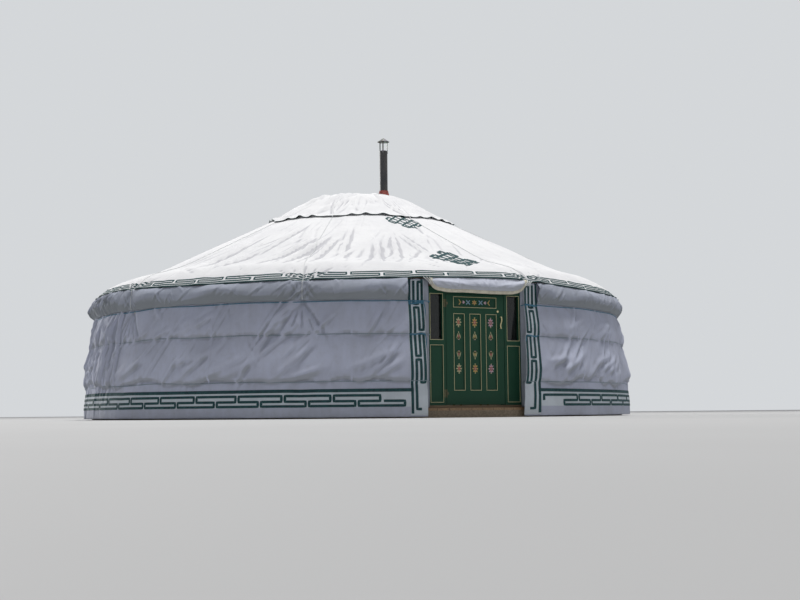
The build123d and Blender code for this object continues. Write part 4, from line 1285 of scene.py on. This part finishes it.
# %% Timber of the frame
def wood(name, light, dark, stretch, rough=0.6):
    """Timber with long grain, pores and a few darker years; also returns its colour."""
    finish = Finish(name)
    grain = finish.noise(finish.where(stretch), 1.0, 6.0, 0.65)
    years = finish.noise(finish.where([value * 0.25 for value in stretch]), 1.0, 3.0, 0.5)
    broad = finish.noise(finish.where(), 1.3, 3.0, 0.5)
    tone = finish.mix(grain.above(0.5, 0.2), light, dark)
    tone = finish.mix(years.above(0.56, 0.1) * 0.5, tone, dark)
    tone = finish.mix(broad.above(0.55, 0.2) * 0.3, tone, [value * 0.7 for value in dark])
    finish.colour(tone)
    finish.rough(rough - 0.1 + grain * 0.2)
    finish.bump(grain + years * 0.5, 0.4, 0.0008)
    return finish, tone


def coat(finish, *names):
    """Give carried-over nodes a finish."""
    for name in names:
        for holder in nodes[name].material_slots:
            holder.material = finish.material
    print(finish.material.name, "on", *names)


lattice = [f"lattice_{i}" for i in range(1, 7)]
poles = ["roof_poles_1", "roof_poles_2", "door_poles"]
wheel = ["crown_ring", "crown_spokes"]
for name, light, dark, stretch, coated in (
        ("lattice_wood", (0.46, 0.29, 0.14), (0.28, 0.16, 0.07), (60, 60, 60), lattice),
        ("pole_wood", (0.50, 0.31, 0.15), (0.31, 0.18, 0.08), (45, 45, 90), poles + wheel),
        ("sill_wood", (0.30, 0.22, 0.13), (0.18, 0.12, 0.07), (4, 80, 80), ["door_sill"]),
        ("bearer_wood", (0.30, 0.24, 0.17), (0.17, 0.13, 0.09), (70, 5, 70), ["floor_frame"])):
    coat(wood(name, light, dark, stretch)[0], *coated)

deck_wood, deck_tone = wood("deck_boards", (0.40, 0.27, 0.15), (0.24, 0.15, 0.08), (70, 4, 70), 0.5)
boards_per_metre = 7.14
board = deck_wood.node("ShaderNodeSeparateXYZ", {}, {0: deck_wood.where((boards_per_metre, 1, 1))}, output=0)
plank = deck_wood.node("ShaderNodeMath", {"operation": "PINGPONG"}, {0: board, 1: 0.5}).above(0.022, 0.012)
deck_wood.bump(plank, 1.0, 0.003)
deck_wood.colour(deck_wood.mix((1 - plank) * 0.85, deck_tone, (0.03, 0.02, 0.012)))
coat(deck_wood, "floor_deck")

# %% [markdown]
# Then paint, glass, metal and the rubber boot round the flue. Each has one random pattern that shows
# in its colour and in its gloss; glass only gets faint smears.

# %% Other surfaces of the frame
glass, smear = blotched("window_glass", (0.008, 0.011, 0.011), (0.016, 0.020, 0.019), 3.0, 3.0, 0.5,
                        stretch=(1, 1, 0.4), blur=0, Alpha=0.80)
glass.rough(0.03 + smear * 0.05)


def metal(name, light, dark, scale, gloss, relief, metallic):
    """Worn metal."""
    finish, dull = blotched(name, light, dark, scale, Metallic=metallic)
    finish.rough(gloss + dull * 0.25)
    finish.bump(dull, relief, 0.0004)
    return finish


brass = metal("brass", (0.80, 0.70, 0.42), (0.55, 0.45, 0.24), 60.0, 0.22, 0.2, 1.0)
hinge_metal = metal("hinge_metal", (0.060, 0.085, 0.050), (0.16, 0.13, 0.07), 80.0, 0.38, 0.3, 0.6)

enamel, soot = blotched("flue_enamel", (0.030, 0.031, 0.035), (0.075, 0.070, 0.068), 4.0, 5.0,
                        stretch=(3, 3, 0.8))
speck = enamel.noise(enamel.where(), 90.0, 3.0)
enamel.rough(0.34 + soot * 0.25 + speck * 0.08)
enamel.bump(speck + soot, 0.25, 0.0008)

rubber, chalk = blotched("red_rubber", (0.34, 0.060, 0.040), (0.24, 0.055, 0.045), 18.0, 5.0)
rubber.rough(0.55 + chalk * 0.25)
rubber.bump(rubber.wave(rubber.where(), 24.0, "Z") + chalk * 0.4, 0.7, 0.003)

zinc = Finish("galvanised_sheet", Metallic=0.75)
spangle = zinc.node("ShaderNodeTexVoronoi", {}, {"Vector": zinc.where(), "Scale": 55.0}, output=1)
stain = zinc.noise(zinc.where(), 12.0, 5.0)
zinc.colour(zinc.mix(stain.above(0.5, 0.2), zinc.mix(0.12, (0.20, 0.21, 0.22), spangle), (0.10, 0.095, 0.09)))
zinc.rough(0.36 + stain * 0.3)
zinc.bump(stain, 0.3, 0.0006)

coat(green, "door_leaf", "door_panels", "door_head", "left_sidelight", "right_sidelight")
coat(glass, "sidelight_glass")
coat(brass, "door_handle")
coat(hinge_metal, "hinge_pins", "hinge_straps")
coat(enamel, "flue_pipe")
coat(rubber, "flue_boot")
coat(zinc, "flue_cowl")

# %% [markdown]
# The lock is a small brass disc near the leaf's free edge. A cylinder lies on the paint, and its
# edges are bevelled so that they catch the light.

# %% A lock
door_lock = added(bpy.ops.mesh.primitive_cylinder_add, vertices=32, radius=0.013, depth=0.006,
                  location=(0.301, leaf_face - 0.0032, 1.240), rotation=(math.pi / 2, 0, 0))
door_lock.name = "door_lock"
bpy.ops.object.mode_set(mode="EDIT")
bpy.ops.mesh.select_all(action="SELECT")
bpy.ops.mesh.bevel(offset=0.0015, segments=3)
bpy.ops.object.mode_set(mode="OBJECT")
smooth(door_lock)
dress(door_lock, brass.material, "door", "brass")
print("door_lock", len(door_lock.data.polygons), "faces")

# %% [markdown]
# For every sheet of cloth the size that it was cut to, before it was hung or laid, is printed. The
# roof, its lining and the crown cover aren't rectangles, so theirs is the square that they fit in.

# %% Cloth sizes
def declare(piece, wide, high):
    """Print the size that a sheet was cut to."""
    print(piece.name, "was cut", wide, "by", high, "metres")


declare(wall_left, 11.15, 1.68)
declare(wall_right, 11.25, 1.68)
declare(roof.piece, 8.2, 8.2)
declare(crown.piece, 3.2, 3.2)
declare(skirt.piece, 21.6, 0.31)
declare(valance.piece, 1.34, 0.18)
declare(left_reveal, 0.16, 1.46)
declare(right_reveal, 0.14, 1.46)
declare(wall_lining, 21.4, 1.38)
declare(roof_lining, 7.6, 7.6)

# %% [markdown]
# The camera stands where the photographer stood, left of square on and low, with a long lens. It was
# worked out from the curves of hem, ropes and eave, so it is given as numbers and a slight roll.

# %% Camera
camera_data = bpy.data.cameras.new("camera")
camera_data.lens = 54.0
camera_data.sensor_width = 36.0
camera_data.clip_end = 300.0
camera = bpy.data.objects.new("camera", camera_data)
bpy.context.scene.collection.objects.link(camera)
camera.location = (-6.651, -15.899, 0.06)
yaw, pitch, roll = math.radians(24.7), math.radians(5.37), math.radians(-0.52)
look = Vector((math.sin(yaw) * math.cos(pitch), math.cos(yaw) * math.cos(pitch), math.sin(pitch)))
camera.rotation_mode = "QUATERNION"
camera.rotation_quaternion = look.to_track_quat("-Z", "Y") @ Quaternion((0.0, 0.0, 1.0), roll)
bpy.context.scene.camera = camera
print("camera at", tuple(round(value, 2) for value in camera.location))

# %% [markdown]
# The studio is plain: a pale floor and a soft sky. A large lamp high over the tent makes the roof
# bright and leaves the wall in open shade. A low, weak sun from behind lights the left end of the
# wall, and a weak lamp hangs in the room. The sky is lighter where it is seen than as a light.

# %% Floor and light
studio_floor = added(bpy.ops.mesh.primitive_plane_add, size=160.0)
studio_floor.name = "studio_floor"
pale, pale_tone = blotched("studio_floor", (0.50, 0.50, 0.50), (0.54, 0.54, 0.54), 0.6, 3.0, 0.5, blur=0)
pale.rough(0.9)
studio_floor.data.materials.append(pale.material)


def lamp(name, kind, spot, towards, power, tint, **settings):
    """A lamp that faces a point."""
    data = bpy.data.lights.new(name, kind)
    data.energy = power
    data.color = tint
    for key, value in settings.items():
        setattr(data, key, value)
    made = bpy.data.objects.new(name, data)
    made.location = spot
    made.rotation_mode = "QUATERNION"
    made.rotation_quaternion = (Vector(towards) - Vector(spot)).to_track_quat("-Z", "Y")
    bpy.context.scene.collection.objects.link(made)
    print(name, "is a", kind, "lamp")


lamp("key_lamp", "AREA", (2.5, -2.0, 42.0), (0, 0, 2.0), 14600.0, (1.0, 0.99, 0.97), size=9.0)
lamp("room_lamp", "AREA", (0.0, 0.0, 2.3), (0.0, 0.0, 0.1), 12.0, (1.0, 0.93, 0.82), size=1.6)
lamp("fill_lamp", "SUN", (-14.0, 38.0, 7.0), (-1.0, 0.0, 1.5), 1.4, (1.0, 0.98, 0.95),
     angle=math.radians(12.0))

world = bpy.data.worlds.new("studio_sky")
bpy.context.scene.world = world
world.use_nodes = True
sky = world.node_tree
lighting = sky.nodes["Background"]
shown = sky.nodes.new("ShaderNodeBackground")
for made, colour, strength in ((lighting, (0.90, 0.93, 1.0, 1.0), 0.26),
                               (shown, (0.66, 0.68, 0.70, 1.0), 1.0)):
    made.inputs["Color"].default_value = colour
    made.inputs["Strength"].default_value = strength
rays = sky.nodes.new("ShaderNodeLightPath")
seen = rays.outputs["Is Camera Ray"]
for kind in ("Is Glossy Ray", "Is Transmission Ray"):
    either = sky.nodes.new("ShaderNodeMath")
    either.operation = "MAXIMUM"
    sky.links.new(seen, either.inputs[0])
    sky.links.new(rays.outputs[kind], either.inputs[1])
    seen = either.outputs[0]
choice = sky.nodes.new("ShaderNodeMixShader")
for index, socket in enumerate((seen, lighting.outputs[0], shown.outputs[0])):
    sky.links.new(socket, choice.inputs[index])
sky.links.new(choice.outputs[0], sky.nodes["World Output"].inputs["Surface"])
bpy.context.scene.view_settings.view_transform = "Standard"
